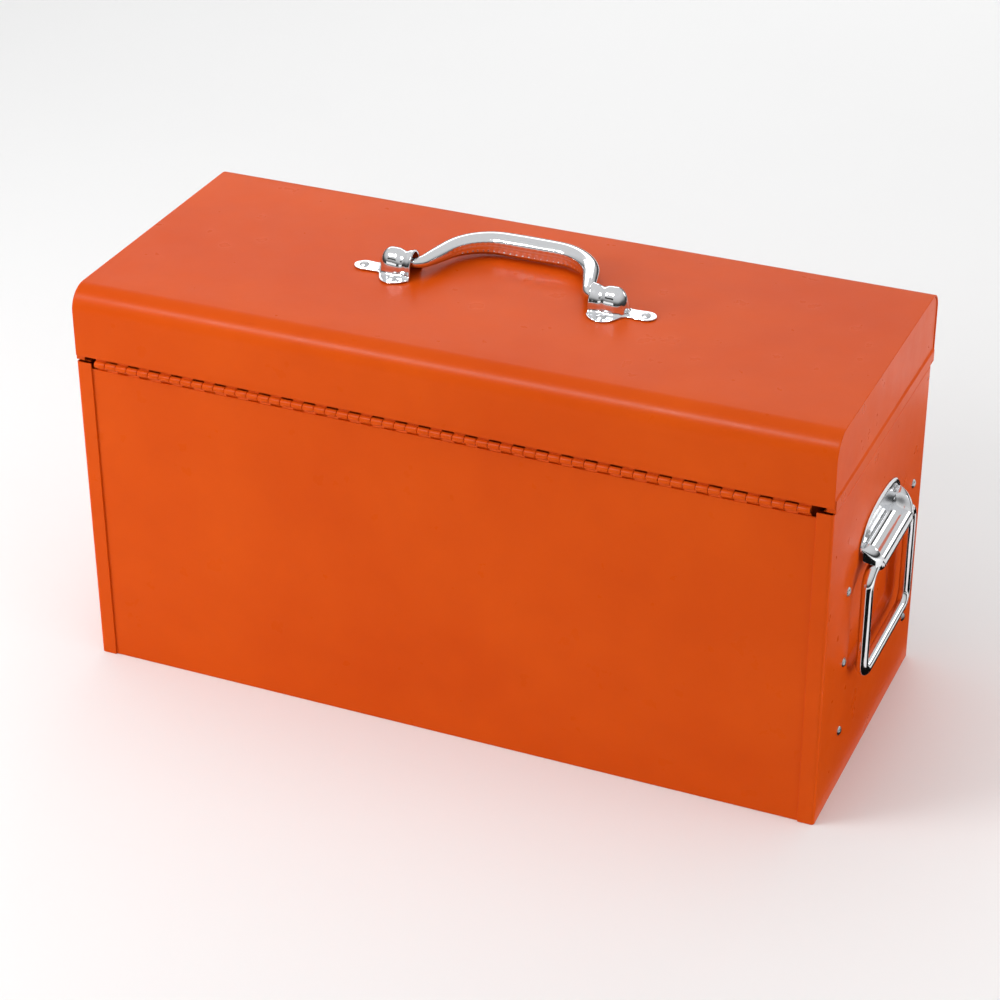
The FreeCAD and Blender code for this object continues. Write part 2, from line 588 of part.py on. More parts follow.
def grip_path():
    """Centre line of the bow from one trunnion to the other: end bend, straight, crown, and their mirror."""
    half, drop = size("grip_half_span"), size("grip_drop")
    bend, crown, turn = size("grip_end_bend"), size("grip_crown_bend"), math.radians(size("grip_turn"))
    level = size("overall_height") + size("handle_axis_rise")
    rise = 1 - math.cos(turn)
    run = (drop - (bend + crown) * rise) / math.sin(turn)
    flat = half - (bend + crown) * math.sin(turn) - run * math.cos(turn)

    def on_bend(angle):
        return Vector(half - bend * math.sin(angle), bend * (math.cos(angle) - 1), level)

    def on_crown(angle):
        return Vector(flat + crown * math.sin(angle), crown * (1 - math.cos(angle)) - drop, level)

    def mirrored(point):
        return Vector(-point.x, point.y, point.z)

    arcs = [(on_bend(0), on_bend(turn / 2), on_bend(turn)), (on_crown(turn), on_crown(turn / 2), on_crown(0))]
    arcs += [tuple(mirrored(p) for p in reversed(arc)) for arc in reversed(arcs)]
    edges = []
    for n, arc in enumerate(arcs):
        edges.append(Part.Arc(*arc).toShape())
        if n < len(arcs) - 1:
            edges.append(Part.LineSegment(arc[2], arcs[n + 1][0]).toShape())
    return Part.Wire(edges)


def top_handle():
    """Bow-shaped grip, thick in the middle, with a straight trunnion at each end; it lies to the front."""
    path = grip_path()
    thin, thick = size("grip_end_radius"), size("grip_middle_radius")
    points = path.discretize(GRIP_RINGS)
    last = len(points) - 1
    rings = []
    for n, point in enumerate(points):
        along = points[min(n + 1, last)] - points[max(n - 1, 0)]
        if n in (0, last):
            along = Vector(1, 0, 0)
        radius = thin + (thick - thin) * math.sin(math.pi * n / last) ** GRIP_FULLNESS
        up = Vector(0, 0, 1)
        ring = Part.Wire(Part.makeCircle(radius))
        ring.Placement = FreeCAD.Placement(point, FreeCAD.Rotation(up, along.cross(up), along, "ZXY"))
        rings.append(ring)
    bow = Part.makeLoft(rings, True, False)
    reach = size("trunnion")
    half, level = size("grip_half_span"), size("overall_height") + size("handle_axis_rise")
    ends = [Part.makeCylinder(thin, reach, Vector(side * half, 0, level), Vector(side, 0, 0))
            for _, side in SIDES]
    node = doc.addObject("Part::Feature", "top_handle_grip")
    node.Shape = bow.fuse(ends)
    finish_part(node, "top_handle_grip")


# ---- closed rod loops --------------------------------------------------------


def rod_loop(name, corners, radius, bend):
    """A closed rod bent to a rounded rectangle; corners are its four centre-line points."""
    points = [Vector(*c) for c in corners]
    edges = []
    for n, here in enumerate(points):
        before, after = points[n - 1], points[(n + 1) % 4]
        inward = (before - here).normalize()
        onward = (after - here).normalize()
        start, end = here + inward * bend, here + onward * bend
        middle = here + (inward + onward) * bend * (1 - math.sqrt(0.5))
        edges.append(Part.Arc(start, middle, end).toShape())
        edges.append(Part.LineSegment(end, after - onward * bend).toShape())
    path = Part.Wire(edges)
    begin = points[0] + (points[1] - points[0]).normalize() * bend
    ring = Part.Wire(Part.makeCircle(radius, begin, points[1] - points[0]))
    node = doc.addObject("Part::Feature", name)
    node.Shape = path.makePipeShell([ring], True, False)
    return node


def side_handle(word, side):
    """Plate with its rolled socket on one end wall, and the bail that swings in it."""
    axis_x = "(case_length / 2 + bail_axis_out)"
    body = new_body(f"{word}_plate_sheet")
    shape = [("- plate_half", "plate_low"), ("plate_half", "plate_low"),
             ("plate_half", "plate_top - plate_shoulder"), ("plate_knee", "plate_top - plate_knee_drop"),
             ("plate_crown", "plate_top"), ("- plate_crown", "plate_top"),
             ("- plate_knee", "plate_top - plate_knee_drop"), ("- plate_half", "plate_top - plate_shoulder")]
    face = outline(body, f"{word}_plate_face", "YZ_Plane", shape, f"{side} * {HALF_X}")
    pad(body, face, "plate_sheet", side < 0)
    y = ("- socket_half", "socket_half")
    start_y = "- socket_half"
    socket = rod(f"{word}_plate_roll", "y", "socket_radius",
                 (f"{side} * {axis_x}", start_y, "bail_axis_height"), "2 * socket_half")
    web = span(f"{word}_plate_web", sided(side, HALF_X, axis_x), y,
               ("bail_axis_height + socket_radius - plate_sheet", "bail_axis_height + socket_radius"))
    blank = join(f"{word}_plate_blank", [body, socket, web])
    start = f"{side} * case_length / 2 - 2 * wall"
    places = [(start, f"{n} * side_rivet_half", "side_rivet_height") for n in (-1, 1)]
    tools = holes(f"{word}_plate_hole", "x", places, "4 * wall")
    tools.append(rod(f"{word}_plate_bore", "y", "bail_radius + pin_clearance",
                     (f"{side} * {axis_x}", "- socket_half - overrun", "bail_axis_height"),
                     "2 * (socket_half + overrun)"))
    finish_part(carve(f"{word}_side_plate", blank, tools), f"{word}_side_plate")
    x = side * (size("case_length") / 2 + size("bail_axis_out"))
    half, high = size("bail_half_width"), size("bail_axis_height")
    low = high - size("bail_drop")
    corners = [(x, -half, high), (x, half, high), (x, half, low), (x, -half, low)]
    bail = rod_loop(f"{word}_bail", corners, size("bail_radius"), size("bail_corner"))
    finish_part(bail, f"{word}_side_bail")


# ---- drawers -----------------------------------------------------------------


def drawer(level):
    """One drawer: pan, boxed front, pull strip and its pair of moving runners."""
    word = DRAWERS[level]
    base = f"(drawer_base + {level} * drawer_pitch)"
    half_x = f"({RUNNER_X} - runner_reach - pan_side_gap)"
    front_y, back_y = "(- case_depth / 2 + front_thickness)", f"({REAR_INSIDE} - pan_rear_gap)"
    body = new_body(f"{word}_pan_body")
    pan_z = f"({base} + pan_lift)"
    plan = rectangle((f"- {half_x}", half_x), (front_y, back_y))
    pad(body, outline(body, f"{word}_pan_plan", "XY_Plane", plan, pan_z), "pan_height")
    inner = rectangle((f"- {half_x} + pan_wall", f"{half_x} - pan_wall"),
                      (f"{front_y} + pan_wall", f"{back_y} - pan_wall"))
    pocket(body, outline(body, f"{word}_pan_inside", "XY_Plane", inner, f"{pan_z} + pan_height"),
           "pan_height - pan_wall")
    finish_part(body, f"{word}_drawer_pan")
    front_half = "(case_length / 2 - front_lip - front_gap)"
    front = new_body(f"{word}_front_body")
    face = rectangle((f"- {front_half}", front_half), ("- case_depth / 2", front_y))
    pad(front, outline(front, f"{word}_front_plan", "XY_Plane", face, base), "front_height")
    room = rectangle((f"- {front_half} + wall", f"{front_half} - wall"), ("- case_depth / 2 + wall", front_y))
    pocket(front, outline(front, f"{word}_front_inside", "XY_Plane", room, f"{base} + front_height - wall"),
           "front_height - 2 * wall")
    finish_part(front, f"{word}_drawer_front")
    pull = new_body(f"{word}_pull_body")
    top, out = f"({base} + front_height)", "(- case_depth / 2)"
    ring = [(out, f"{top} - pull_height"), (out, top), (f"{out} - pull_reach", top),
            (f"{out} - pull_reach", f"{top} - pull_height / 2"),
            (f"{out} - pull_reach + wall", f"{top} - pull_height / 2"),
            (f"{out} - pull_reach + wall", f"{top} - wall"),
            (f"{out} - wall", f"{top} - wall"), (f"{out} - wall", f"{top} - pull_height")]
    start = f"- {front_half} + pull_inset"
    run = f"2 * {front_half} - 2 * pull_inset"
    pad(pull, outline(pull, f"{word}_pull_side", "YZ_Plane", ring, start), run)
    finish_part(pull, f"{word}_drawer_pull")
    z = runner_z(level)
    y = (f"{FRONT_INSIDE} + runner_inset + slide_inset", f"{back_y} - slide_inset")
    pieces = []
    for side_word, side in SIDES:
        tag = f"{word}_{side_word}_slide"
        web = span(f"{tag}_web", sided(side, half_x, f"{half_x} + runner_wall"), y,
                   (f"{z} - runner_half", f"{z} + runner_half"))
        reach = sided(side, half_x, f"{RUNNER_X} - runner_wall - runner_gap")
        low = span(f"{tag}_low", reach, y, (f"{z} - runner_half", f"{z} - runner_half + runner_wall"))
        high = span(f"{tag}_high", reach, y, (f"{z} + runner_half - runner_wall", f"{z} + runner_half"))
        pieces += [web, low, high]
    finish_part(join(f"{word}_drawer_slides", pieces), f"{word}_drawer_slides")


# ---- tray --------------------------------------------------------------------


def tray():
    """Lift-out tray: pan with a rolled rim, strap handle and two cross dividers."""
    low = f"({REST_Z} + rest_gap)"
    body = new_body("tray_pan_body")
    plan = rectangle((f"- {TRAY_X}", TRAY_X), (f"- {TRAY_Y}", TRAY_Y))
    pad(body, outline(body, "tray_plan", "XY_Plane", plan, low), "tray_height")
    inner = rectangle((f"- {TRAY_X} + tray_rim", f"{TRAY_X} - tray_rim"),
                      (f"- {TRAY_Y} + tray_rim", f"{TRAY_Y} - tray_rim"))
    inside = outline(body, "tray_inside", "XY_Plane", inner, f"{low} + tray_height")
    pocket(body, inside, "tray_height - pan_wall")
    up = Vector(0, 0, 1)
    roundings = (("inside", size("tray_rim"), "tray_radius - tray_rim"), ("outside", 0, "tray_radius"))
    for tag, inset, radius in roundings:
        corner_x = size("case_length") / 2 - size("tray_end_gap") - inset
        round_edges(body, f"tray_{tag}_corners", radius,
                    lambda e, x=corner_x: straight(e, up) and at(e, "x", [-x, x]))
    floor = f"({low} + pan_wall)"
    spots = [(f"{side} * (tray_grip_half + tray_grip_foot / 2)", "0", f"{low} - overrun")
             for _, side in SIDES]
    pan = carve("tray_pan", body, holes("tray_hole", "z", spots, "pan_wall + 2 * overrun"))
    finish_part(pan, "tray_pan")
    grip = new_body("tray_strap")
    half, foot = "tray_grip_half", "(tray_grip_half + tray_grip_foot)"
    top = f"({floor} + tray_grip_rise)"
    path = [(f"- {foot}", floor), (f"- {half} + strap", floor), (f"- {half} + strap", f"{top} - strap"),
            (f"{half} - strap", f"{top} - strap"), (f"{half} - strap", floor), (foot, floor),
            (foot, f"{floor} + strap"), (half, f"{floor} + strap"), (half, top), (f"- {half}", top),
            (f"- {half}", f"{floor} + strap"), (f"- {foot}", f"{floor} + strap")]
    pad(grip, outline(grip, "tray_strap_side", "XZ_Plane", path, "- tray_grip_width / 2"), "tray_grip_width")
    across = Vector(0, 1, 0)
    floor_z = size("case_height") - size("tray_rest_depth") + size("rest_gap") + size("pan_wall")
    corner_z = floor_z + size("tray_grip_rise")
    half_x = size("tray_grip_half")
    round_edges(grip, "tray_strap_outer", "tray_radius",
                lambda e: straight(e, across) and at(e, "x", [-half_x, half_x]) and at(e, "z", [corner_z]))
    inner_half = half_x - size("strap")
    round_edges(grip, "tray_strap_inner", "tray_radius - strap",
                lambda e: straight(e, across) and at(e, "x", [-inner_half, inner_half])
                and at(e, "z", [corner_z - size("strap")]))
    strap = carve("tray_handle", grip, holes("strap_hole", "z", spots, "pan_wall + strap + 2 * overrun"))
    finish_part(strap, "tray_handle")
    foot_face = floor_z + size("strap")
    middle = half_x + size("tray_grip_foot") / 2
    places = [(side * middle, 0, foot_face) for _, side in SIDES]
    node = rivets("tray_handle_rivets", places, (0, 0, 1), size("pan_wall") + size("strap"))
    finish_part(node, "tray_handle_rivets")
    depth = (f"- {TRAY_Y} + tray_rim", f"{TRAY_Y} - tray_rim")
    walls = [span(f"tray_divider_{word}", sided(side, "divider_place", "divider_place + pan_wall"), depth,
                  (floor, f"{floor} + divider_height")) for word, side in SIDES]
    finish_part(join("tray_dividers", walls), "tray_dividers")


# ---- draw latches ------------------------------------------------------------


def latch(word, side):
    """Draw latch: base with its pin on the case, lever, wire loop, and keeper on the lid."""
    middle = f"{side} * latch_place"

    def across(half):
        return (f"{middle} - {half}", f"{middle} + {half}")

    face = "(- case_depth / 2 + wall)"
    plate = span(f"{word}_latch_plate", across("latch_half"), (f"{face} - wall", face),
                 (LATCH_LOW, LATCH_TOP))
    ears = []
    for n in (-1, 1):
        edge = (f"{middle} + latch_half - wall", f"{middle} + latch_half")
        if n < 0:
            edge = (f"{middle} - latch_half", f"{middle} - latch_half + wall")
        ears.append(span(f"{word}_latch_ear_{n + 1}", edge, (f"{LATCH_Y} - latch_ear_reach", face),
                         (f"{LATCH_Z} - latch_ear_half", f"{LATCH_Z} + latch_ear_half")))
    pin = rod(f"{word}_latch_pin", "x", "latch_pin",
              (f"{middle} - latch_half", LATCH_Y, LATCH_Z), "2 * latch_half")
    blank = join(f"{word}_latch_blank", [plate, pin] + ears)
    rivet_z = f"{LATCH_LOW} + latch_rivet_rise"
    places = [(f"{middle} + {n} * latch_half / 2", "- case_depth / 2 - wall", rivet_z)
              for n in (-1, 1)]
    base = carve(f"{word}_latch_base", blank, holes(f"{word}_latch_hole", "y", places, "4 * wall"))
    finish_part(base, f"{word}_latch_base")
    front = f"({LATCH_Y} - lever_front)"
    low = f"({LATCH_Z} - lever_drop)"
    blade = span(f"{word}_lever_blade", across("lever_half"), (front, f"{front} + wall"),
                 (low, LATCH_Z))
    lip = span(f"{word}_lever_lip", across("(loop_half - 2 * loop_wire)"),
               (f"{front} - lever_lip", f"{front} + wall"), (low, f"{low} + wall"))
    cheeks = []
    for n, edge in ((-1, (f"{middle} - lever_half", f"{middle} - lever_half + wall")),
                    (1, (f"{middle} + lever_half - wall", f"{middle} + lever_half"))):
        cheeks.append(span(f"{word}_lever_cheek_{n + 1}", edge, (front, f"{LATCH_Y} + cheek_rise"),
                           (f"{LATCH_Z} - cheek_drop", f"{LATCH_Z} + cheek_rise")))
    lug = rod(f"{word}_lever_lug", "x", "lug_radius", (f"{middle} - lug_half", LOOP_Y, LOOP_Z),
              "2 * lug_half")
    blank = join(f"{word}_lever_blank", [blade, lip, lug] + cheeks)
    tools = [
        rod(f"{word}_lever_bore", "x", "latch_pin + pin_clearance",
            (f"{middle} - lever_half - overrun", LATCH_Y, LATCH_Z),
            "2 * (lever_half + overrun)"),
        rod(f"{word}_lug_bore", "x", "loop_wire + pin_clearance",
            (f"{middle} - lug_half - overrun", LOOP_Y, LOOP_Z), "2 * (lug_half + overrun)"),
    ]
    finish_part(carve(f"{word}_latch_lever", blank, tools), f"{word}_latch_lever")
    x, y = side * size("latch_place"), -size("case_depth") / 2 + size("wall") - size("loop_out")
    half, high = size("loop_half"), size("case_height") - size("loop_drop")
    low_z = high - size("loop_length")
    corners = [(x - half, y, high), (x + half, y, high), (x + half, y, low_z), (x - half, y, low_z)]
    loop = rod_loop(f"{word}_loop", corners, size("loop_wire"), size("loop_corner"))
    finish_part(loop, f"{word}_latch_loop")
    out = f"({LID_FRONT} - trim_proud)"
    pad_plate = span(f"{word}_keeper_plate", across("keeper_half"), (f"{out} - wall", out),
                     (KEEPER_Z, f"{KEEPER_Z} + keeper_tall"))
    shelf = span(f"{word}_keeper_shelf", across("keeper_hook_half"), (f"{out} - keeper_reach", out),
                 (KEEPER_Z, f"{KEEPER_Z} + wall"))
    hook = span(f"{word}_keeper_hook", across("keeper_hook_half"),
                (f"{out} - keeper_reach", f"{out} - keeper_reach + wall"),
                (KEEPER_Z, f"{KEEPER_Z} + keeper_hook_rise"))
    finish_part(join(f"{word}_latch_keeper", [pad_plate, shelf, hook]), f"{word}_latch_keeper")


def latch_rivets():
    face = -size("case_depth") / 2
    height = size("case_height") - size("latch_low_drop") + size("latch_rivet_rise")
    places = [(side * size("latch_place") + n * size("latch_half") / 2, face, height)
              for _, side in SIDES for n in (-1, 1)]
    finish_part(rivets("latch_rivets", places, (0, -1, 0), 2 * size("wall")), "latch_rivets")


# ---- build -------------------------------------------------------------------


def main():
    bottom_panel()
    case_panels()
    hinge_leaf("hinge_lower_leaf", False)
    hinge_leaf("hinge_upper_leaf", True)
    hinge_pin()
    lid_shell()
    lid_trim()
    top_handle()
    tray()
    latch_rivets()
    for word, side in SIDES:
        end_panel(word, side)
        tray_rest(word, side)
        end_rivets(word, side)
        lid_end(word, side)
        handle_cap(word, side)
        side_handle(word, side)
        latch(word, side)
        for level in range(len(DRAWERS)):
            runner(word, side, level)
    for level in range(len(DRAWERS)):
        drawer(level)
    doc.recompute()
    bad = [f"{o.Name}: {o.State}" for o in doc.Objects
           if "Invalid" in o.State or "Error" in o.State]
    for node in SUBPARTS:
        shape = node.Shape
        if shape.isNull() or not shape.isValid() or not shape.Solids:
            bad.append(f"{node.Label}: no valid solid")
    if bad:
        raise RuntimeError("; ".join(bad))
    os.makedirs("parts", exist_ok=True)
    for node in SUBPARTS:
        node.Shape.exportStep(f"parts/{node.Label}.step")
    print(f"{len(SUBPARTS)} sub-parts written")


main()
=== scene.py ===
"""Steel tool chest: sheet-metal case, hinged lid, three drawers, lift-out tray, chrome handles."""

import math

import bmesh
import bpy
from mathutils import Matrix, Vector


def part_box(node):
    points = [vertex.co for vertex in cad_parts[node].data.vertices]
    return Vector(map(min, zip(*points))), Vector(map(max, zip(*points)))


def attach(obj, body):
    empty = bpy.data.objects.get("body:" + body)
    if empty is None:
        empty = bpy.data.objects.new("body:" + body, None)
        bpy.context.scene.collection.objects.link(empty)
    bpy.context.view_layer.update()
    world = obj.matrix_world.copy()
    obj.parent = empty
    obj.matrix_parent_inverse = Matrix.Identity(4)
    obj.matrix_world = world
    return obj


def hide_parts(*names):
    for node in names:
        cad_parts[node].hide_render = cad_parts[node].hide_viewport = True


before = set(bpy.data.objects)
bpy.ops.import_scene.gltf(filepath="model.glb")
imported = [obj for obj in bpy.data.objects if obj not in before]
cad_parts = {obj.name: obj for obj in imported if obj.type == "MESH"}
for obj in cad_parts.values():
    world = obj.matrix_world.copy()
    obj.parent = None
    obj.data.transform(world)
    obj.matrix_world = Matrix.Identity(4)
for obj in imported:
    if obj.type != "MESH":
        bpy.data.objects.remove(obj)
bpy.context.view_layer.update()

bl_info = {
    "name": "Steel tool chest",
    "version": (1, 0, 0),
    "blender": (4, 5, 0),
    "location": "3D View > Sidebar > Tool chest",
    "description": "Builds the detailed panels, handles and fittings of a steel tool chest",
    "category": "Object",
}

MM = 0.001
SIDES = (("left", -1), ("right", 1))
DRAWERS = ("lower", "middle", "upper")


# ---- sizes and colours a user may change ---------------------------------------


def length(name, description, millimetres):
    """A length property shown in scene units."""
    return bpy.props.FloatProperty(name=name, description=description, default=millimetres * MM,
                                   min=0.0, unit="LENGTH", precision=5)


def colour(name, description, rgb):
    """A colour property."""
    return bpy.props.FloatVectorProperty(name=name, description=description, default=rgb,
                                         subtype="COLOR", size=3, min=0.0, max=1.0)


class ChestSizes(bpy.types.PropertyGroup):
    """Sheet, bend and edge sizes of the chest's pieces."""

    wall: length("Sheet", "Thickness of the painted sheet", 1.2)
    edge: length("Sheet edge", "Rounding of a sheared sheet edge", 0.35)
    corner: length("Case corner", "Outside radius of the case's upright corners", 2.0)
    rear_lip: length("Rear lip", "Width of the end panel's strip on the rear", 11.0)
    front_lip: length("Front lip", "Width of the end panel's strip on the front", 12.0)
    top_lip: length("Top lip", "Width of the end panel's folded top edge", 8.0)
    top_bend: length("Top bend", "Radius of the end panel's folded top edge", 1.7)
    recess_width: length("Recess width", "Width of the finger recess in each end", 106.0)
    recess_low: length("Recess bottom", "Height of the recess's lower edge", 81.5)
    recess_high: length("Recess top", "Height of the recess's upper edge", 146.0)
    recess_depth: length("Recess depth", "How far the recess is pressed in", 4.0)
    recess_corner: length("Recess corner", "Radius of the recess's corners", 10.0)
    recess_wall: length("Recess wall", "Width of the recess's sloping wall", 5.0)
    rear_bend: length("Lid rear bend", "Radius of the lid's rear top edge", 16.0)
    front_bend: length("Lid front bend", "Radius of the lid's front top edge", 12.0)
    lid_seam: length("Lid seam", "Gap between the lid's wrap and its end cap", 0.55)
    lid_joggle: length("Lid joggle", "Height of the stepped-out foot of the lid's end cap", 9.0)
    knuckle: length("Hinge knuckle", "Pitch of the hinge's knuckles", 8.05)
    rivet_head: length("Rivet head", "Radius of a rivet head", 3.2)
    rivet_rise: length("Rivet rise", "Height of a rivet head", 1.7)
    bail_rod: length("Drop handle rod", "Radius of the side handles' rod", 4.0)
    loop_wire: length("Latch wire", "Radius of the latch loop's wire", 1.25)


class ChestColours(bpy.types.PropertyGroup):
    """Finishes of the chest."""

    coat: colour("Orange coat", "Satin orange powder coat", (0.70, 0.087, 0.0035))
    coat_deep: colour("Orange coat, thick", "Colour where the coat lies thicker", (0.64, 0.070, 0.0025))
    chrome: colour("Chrome", "Plated handles and trims", (0.86, 0.87, 0.89))
    zinc: colour("Zinc", "Plated runners, latches and rivets", (0.76, 0.77, 0.79))
    floor: colour("Floor", "Floor of the stage", (0.90, 0.90, 0.90))
    surround: colour("Surround", "Soft light around the stage", (0.80, 0.80, 0.80))


def sizes():
    return bpy.context.scene.chest_sizes


def colours():
    return bpy.context.scene.chest_colours


# ---- shapes --------------------------------------------------------------------


class Shape:
    """Points and faces of one piece, gathered before its mesh is made."""

    def __init__(self):
        self.points = []
        self.faces = []

    def grid(self, rows, around=False):
        """Faces through rows of points; around joins each row's end to its start."""
        base, count = len(self.points), len(rows[0])
        for row in rows:
            self.points.extend(row)
        for i in range(len(rows) - 1):
            for j in range(count if around else count - 1):
                a, b = base + i * count + j, base + i * count + (j + 1) % count
                self.faces.append((a, b, b + count, a + count))

    def lid(self, ring):
        """One face over a ring of points."""
        base = len(self.points)
        self.points.extend(ring)
        self.faces.append(tuple(range(base, base + len(ring))))

    def tube(self, rows, capped=True):
        """A skin around rings of points, closed at both ends."""
        self.grid(rows, around=True)
        if capped:
            self.lid(rows[0])
            self.lid(rows[-1])


def ease(x):
    """Smooth step from 0 to 1."""
    x = max(0.0, min(1.0, x))
    return x * x * (3 - 2 * x)


def spread(start, end, count):
    """Evenly spaced numbers from start to end, both included."""
    return [start + (end - start) * n / count for n in range(count + 1)]


def folded(corners, radii, steps=5):
    """A flat line through corners, each inner corner bent to its radius."""
    line = [corners[0]]
    for n in range(1, len(corners) - 1):
        radius = radii[n - 1] if isinstance(radii, (list, tuple)) else radii
        here = Vector(corners[n])
        back, on = (Vector(corners[n - 1]) - here).normalized(), (Vector(corners[n + 1]) - here).normalized()
        half = back.angle(on) / 2
        if radius <= 0 or half > 1.57:
            line.append(tuple(here))
            continue
        centre = here + (back + on).normalized() * radius / math.sin(half)
        start, end = here + back * radius / math.tan(half) - centre, here + on * radius / math.tan(half) - centre
        sweep = math.atan2(start.x * end.y - start.y * end.x, start.dot(end))
        for k in range(steps + 1):
            a = sweep * k / steps
            turn = Vector((start.x * math.cos(a) - start.y * math.sin(a),
                           start.x * math.sin(a) + start.y * math.cos(a)))
            line.append(tuple(centre + turn))
    line.append(corners[-1])
    return line


def beside(line, distance):
    """The same flat line moved sideways: to the left of its run where distance is positive."""
    moved = []
    last = len(line) - 1
    for n, point in enumerate(line):
        here = Vector(point)
        a = (here - Vector(line[n - 1])).normalized() if n else None
        b = (Vector(line[n + 1]) - here).normalized() if n < last else None
        a, b = a or b, b or a
        tangent = (a + b).normalized()
        normal = Vector((-tangent.y, tangent.x))
        moved.append(tuple(here + normal * distance / max(0.3, tangent.dot(a))))
    return moved


def bent_sheet(shape, line, wall, place, stations):
    """A folded sheet: a flat line with thickness, run along the stations. place turns (u, v, w) into a point."""
    inner = beside(line, wall)
    ring = list(line) + inner[::-1]
    shape.grid([[place(u, v, w) for u, v in ring] for w in stations], around=True)
    for w in (stations[0], stations[-1]):
        shape.grid([[place(*p, w) for p in line], [place(*p, w) for p in inner]])


def turned(shape, profile, centre, axis, segments=24):
    """A turned form: radius and height pairs spun about an axis through centre."""
    axis = Vector(axis).normalized()
    across = axis.orthogonal().normalized()
    other = axis.cross(across)
    rows = []
    for radius, height in profile:
        rows.append([Vector(centre) + axis * height
                     + (across * math.cos(2 * math.pi * k / segments)
                        + other * math.sin(2 * math.pi * k / segments)) * max(radius, 1e-7)
                     for k in range(segments)])
    shape.grid(rows, around=True)


def rounded_ring(half_u, half_v, radius, steps=5):
    """Corner-rounded rectangle about the middle, anticlockwise."""
    radius = min(radius, half_u, half_v)
    ring = []
    for n, (su, sv) in enumerate(((1, 1), (-1, 1), (-1, -1), (1, -1))):
        for k in range(steps + 1):
            a = math.pi / 2 * (n + k / steps)
            ring.append((su * (half_u - radius) + radius * math.cos(a),
                         sv * (half_v - radius) + radius * math.sin(a)))
    return ring


def drawn(shape, profile, half_u, half_v, radius, place, steps=5):
    """A drawn pan: inset and level pairs run from the underside, over the rim, to the floor inside."""
    rows = []
    for inset, level in profile:
        ring = rounded_ring(half_u - inset, half_v - inset, max(radius - inset, 0.0004), steps)
        rows.append([place(u, v, level) for u, v in ring])
    shape.tube(rows)


def swept(shape, path, section, up, closed=False):
    """A skin along a path that stays in one plane; section(n) gives the ring's (side, up) pairs at point n."""
    rows, last = [], len(path) - 1
    for n, point in enumerate(path):
        if closed:
            along = path[(n + 1) % len(path)] - path[n - 1]
        else:
            along = path[min(n + 1, last)] - path[max(n - 1, 0)]
        side = along.cross(up).normalized()
        rows.append([point + side * a + up * b for a, b in section(n)])
    if closed:
        rows.append(rows[0])
    shape.tube(rows, capped=not closed)


def circle(radius, segments=20):
    return [(radius * math.cos(2 * math.pi * k / segments), radius * math.sin(2 * math.pi * k / segments))
            for k in range(segments)]


def rod_loop(corners, bend, steps=8, runs=6):
    """Centre line of a rod bent to a rounded rectangle through four corners."""
    path = []
    for n, here in enumerate(corners):
        back = (corners[n - 1] - here).normalized()
        on = (corners[(n + 1) % 4] - here).normalized()
        centre = here + (back + on) * bend
        for k in range(steps + 1):
            a = math.pi / 2 * k / steps
            path.append(centre - on * bend * math.cos(a) - back * bend * math.sin(a))
        start, end = path[-1], corners[(n + 1) % 4] - on * bend
        path.extend(start.lerp(end, k / runs) for k in range(1, runs))
    return path


def piece(name, shape, body, finish, nodes=(), inside=None, wall=0.0, edge=0.0, rounds=2, sharp=38.0, smooth=0):
    """Makes the mesh of one piece, rides it on its body and stands it for its CAD nodes.
    inside is a point behind an open sheet, which then gets thickness wall on that side."""
    mesh = bpy.data.meshes.new(name)
    bm = bmesh.new()
    verts = [bm.verts.new(p) for p in shape.points]
    for face in shape.faces:
        bm.faces.new([verts[i] for i in face])
    bmesh.ops.remove_doubles(bm, verts=bm.verts, dist=2e-6)
    bmesh.ops.dissolve_degenerate(bm, dist=1e-6, edges=bm.edges)
    bmesh.ops.recalc_face_normals(bm, faces=bm.faces)
    if inside is not None:
        lean = sum((f.calc_center_median() - Vector(inside)).normalized().dot(f.normal) * f.calc_area()
                   for f in bm.faces)
        if lean < 0:
            bmesh.ops.reverse_faces(bm, faces=bm.faces)
    for e in bm.edges:
        if len(e.link_faces) == 2 and e.calc_face_angle(0.0) > math.radians(sharp):
            e.smooth = False
    for f in bm.faces:
        f.smooth = True
    bm.to_mesh(mesh)
    bm.free()
    made = bpy.data.objects.new(name, mesh)
    bpy.context.scene.collection.objects.link(made)
    mesh.materials.append(bpy.data.materials[finish])
    if smooth:
        surface = made.modifiers.new("Smooth skin", "SUBSURF")
        surface.levels = surface.render_levels = smooth
    if wall:
        solid = made.modifiers.new("Sheet", "SOLIDIFY")
        solid.thickness, solid.offset, solid.use_even_offset = wall, -1.0, False
    if edge:
        bevel = made.modifiers.new("Broken edge", "BEVEL")
        bevel.width, bevel.segments, bevel.limit_method = edge, rounds, "ANGLE"
        bevel.angle_limit = math.radians(sharp)
        bevel.use_clamp_overlap = True
    if edge or wall:
        weighted = made.modifiers.new("Even shading", "WEIGHTED_NORMAL")
        weighted.keep_sharp = False
        weighted.weight = 60
    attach(made, body)
    if nodes:
        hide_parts(*nodes)
    return made


def keep_node(node, finish):
    """Gives a CAD node that stays in view its finish."""
    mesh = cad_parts[node].data
    mesh.materials.clear()
    mesh.materials.append(bpy.data.materials[finish])


# ---- finishes ------------------------------------------------------------------


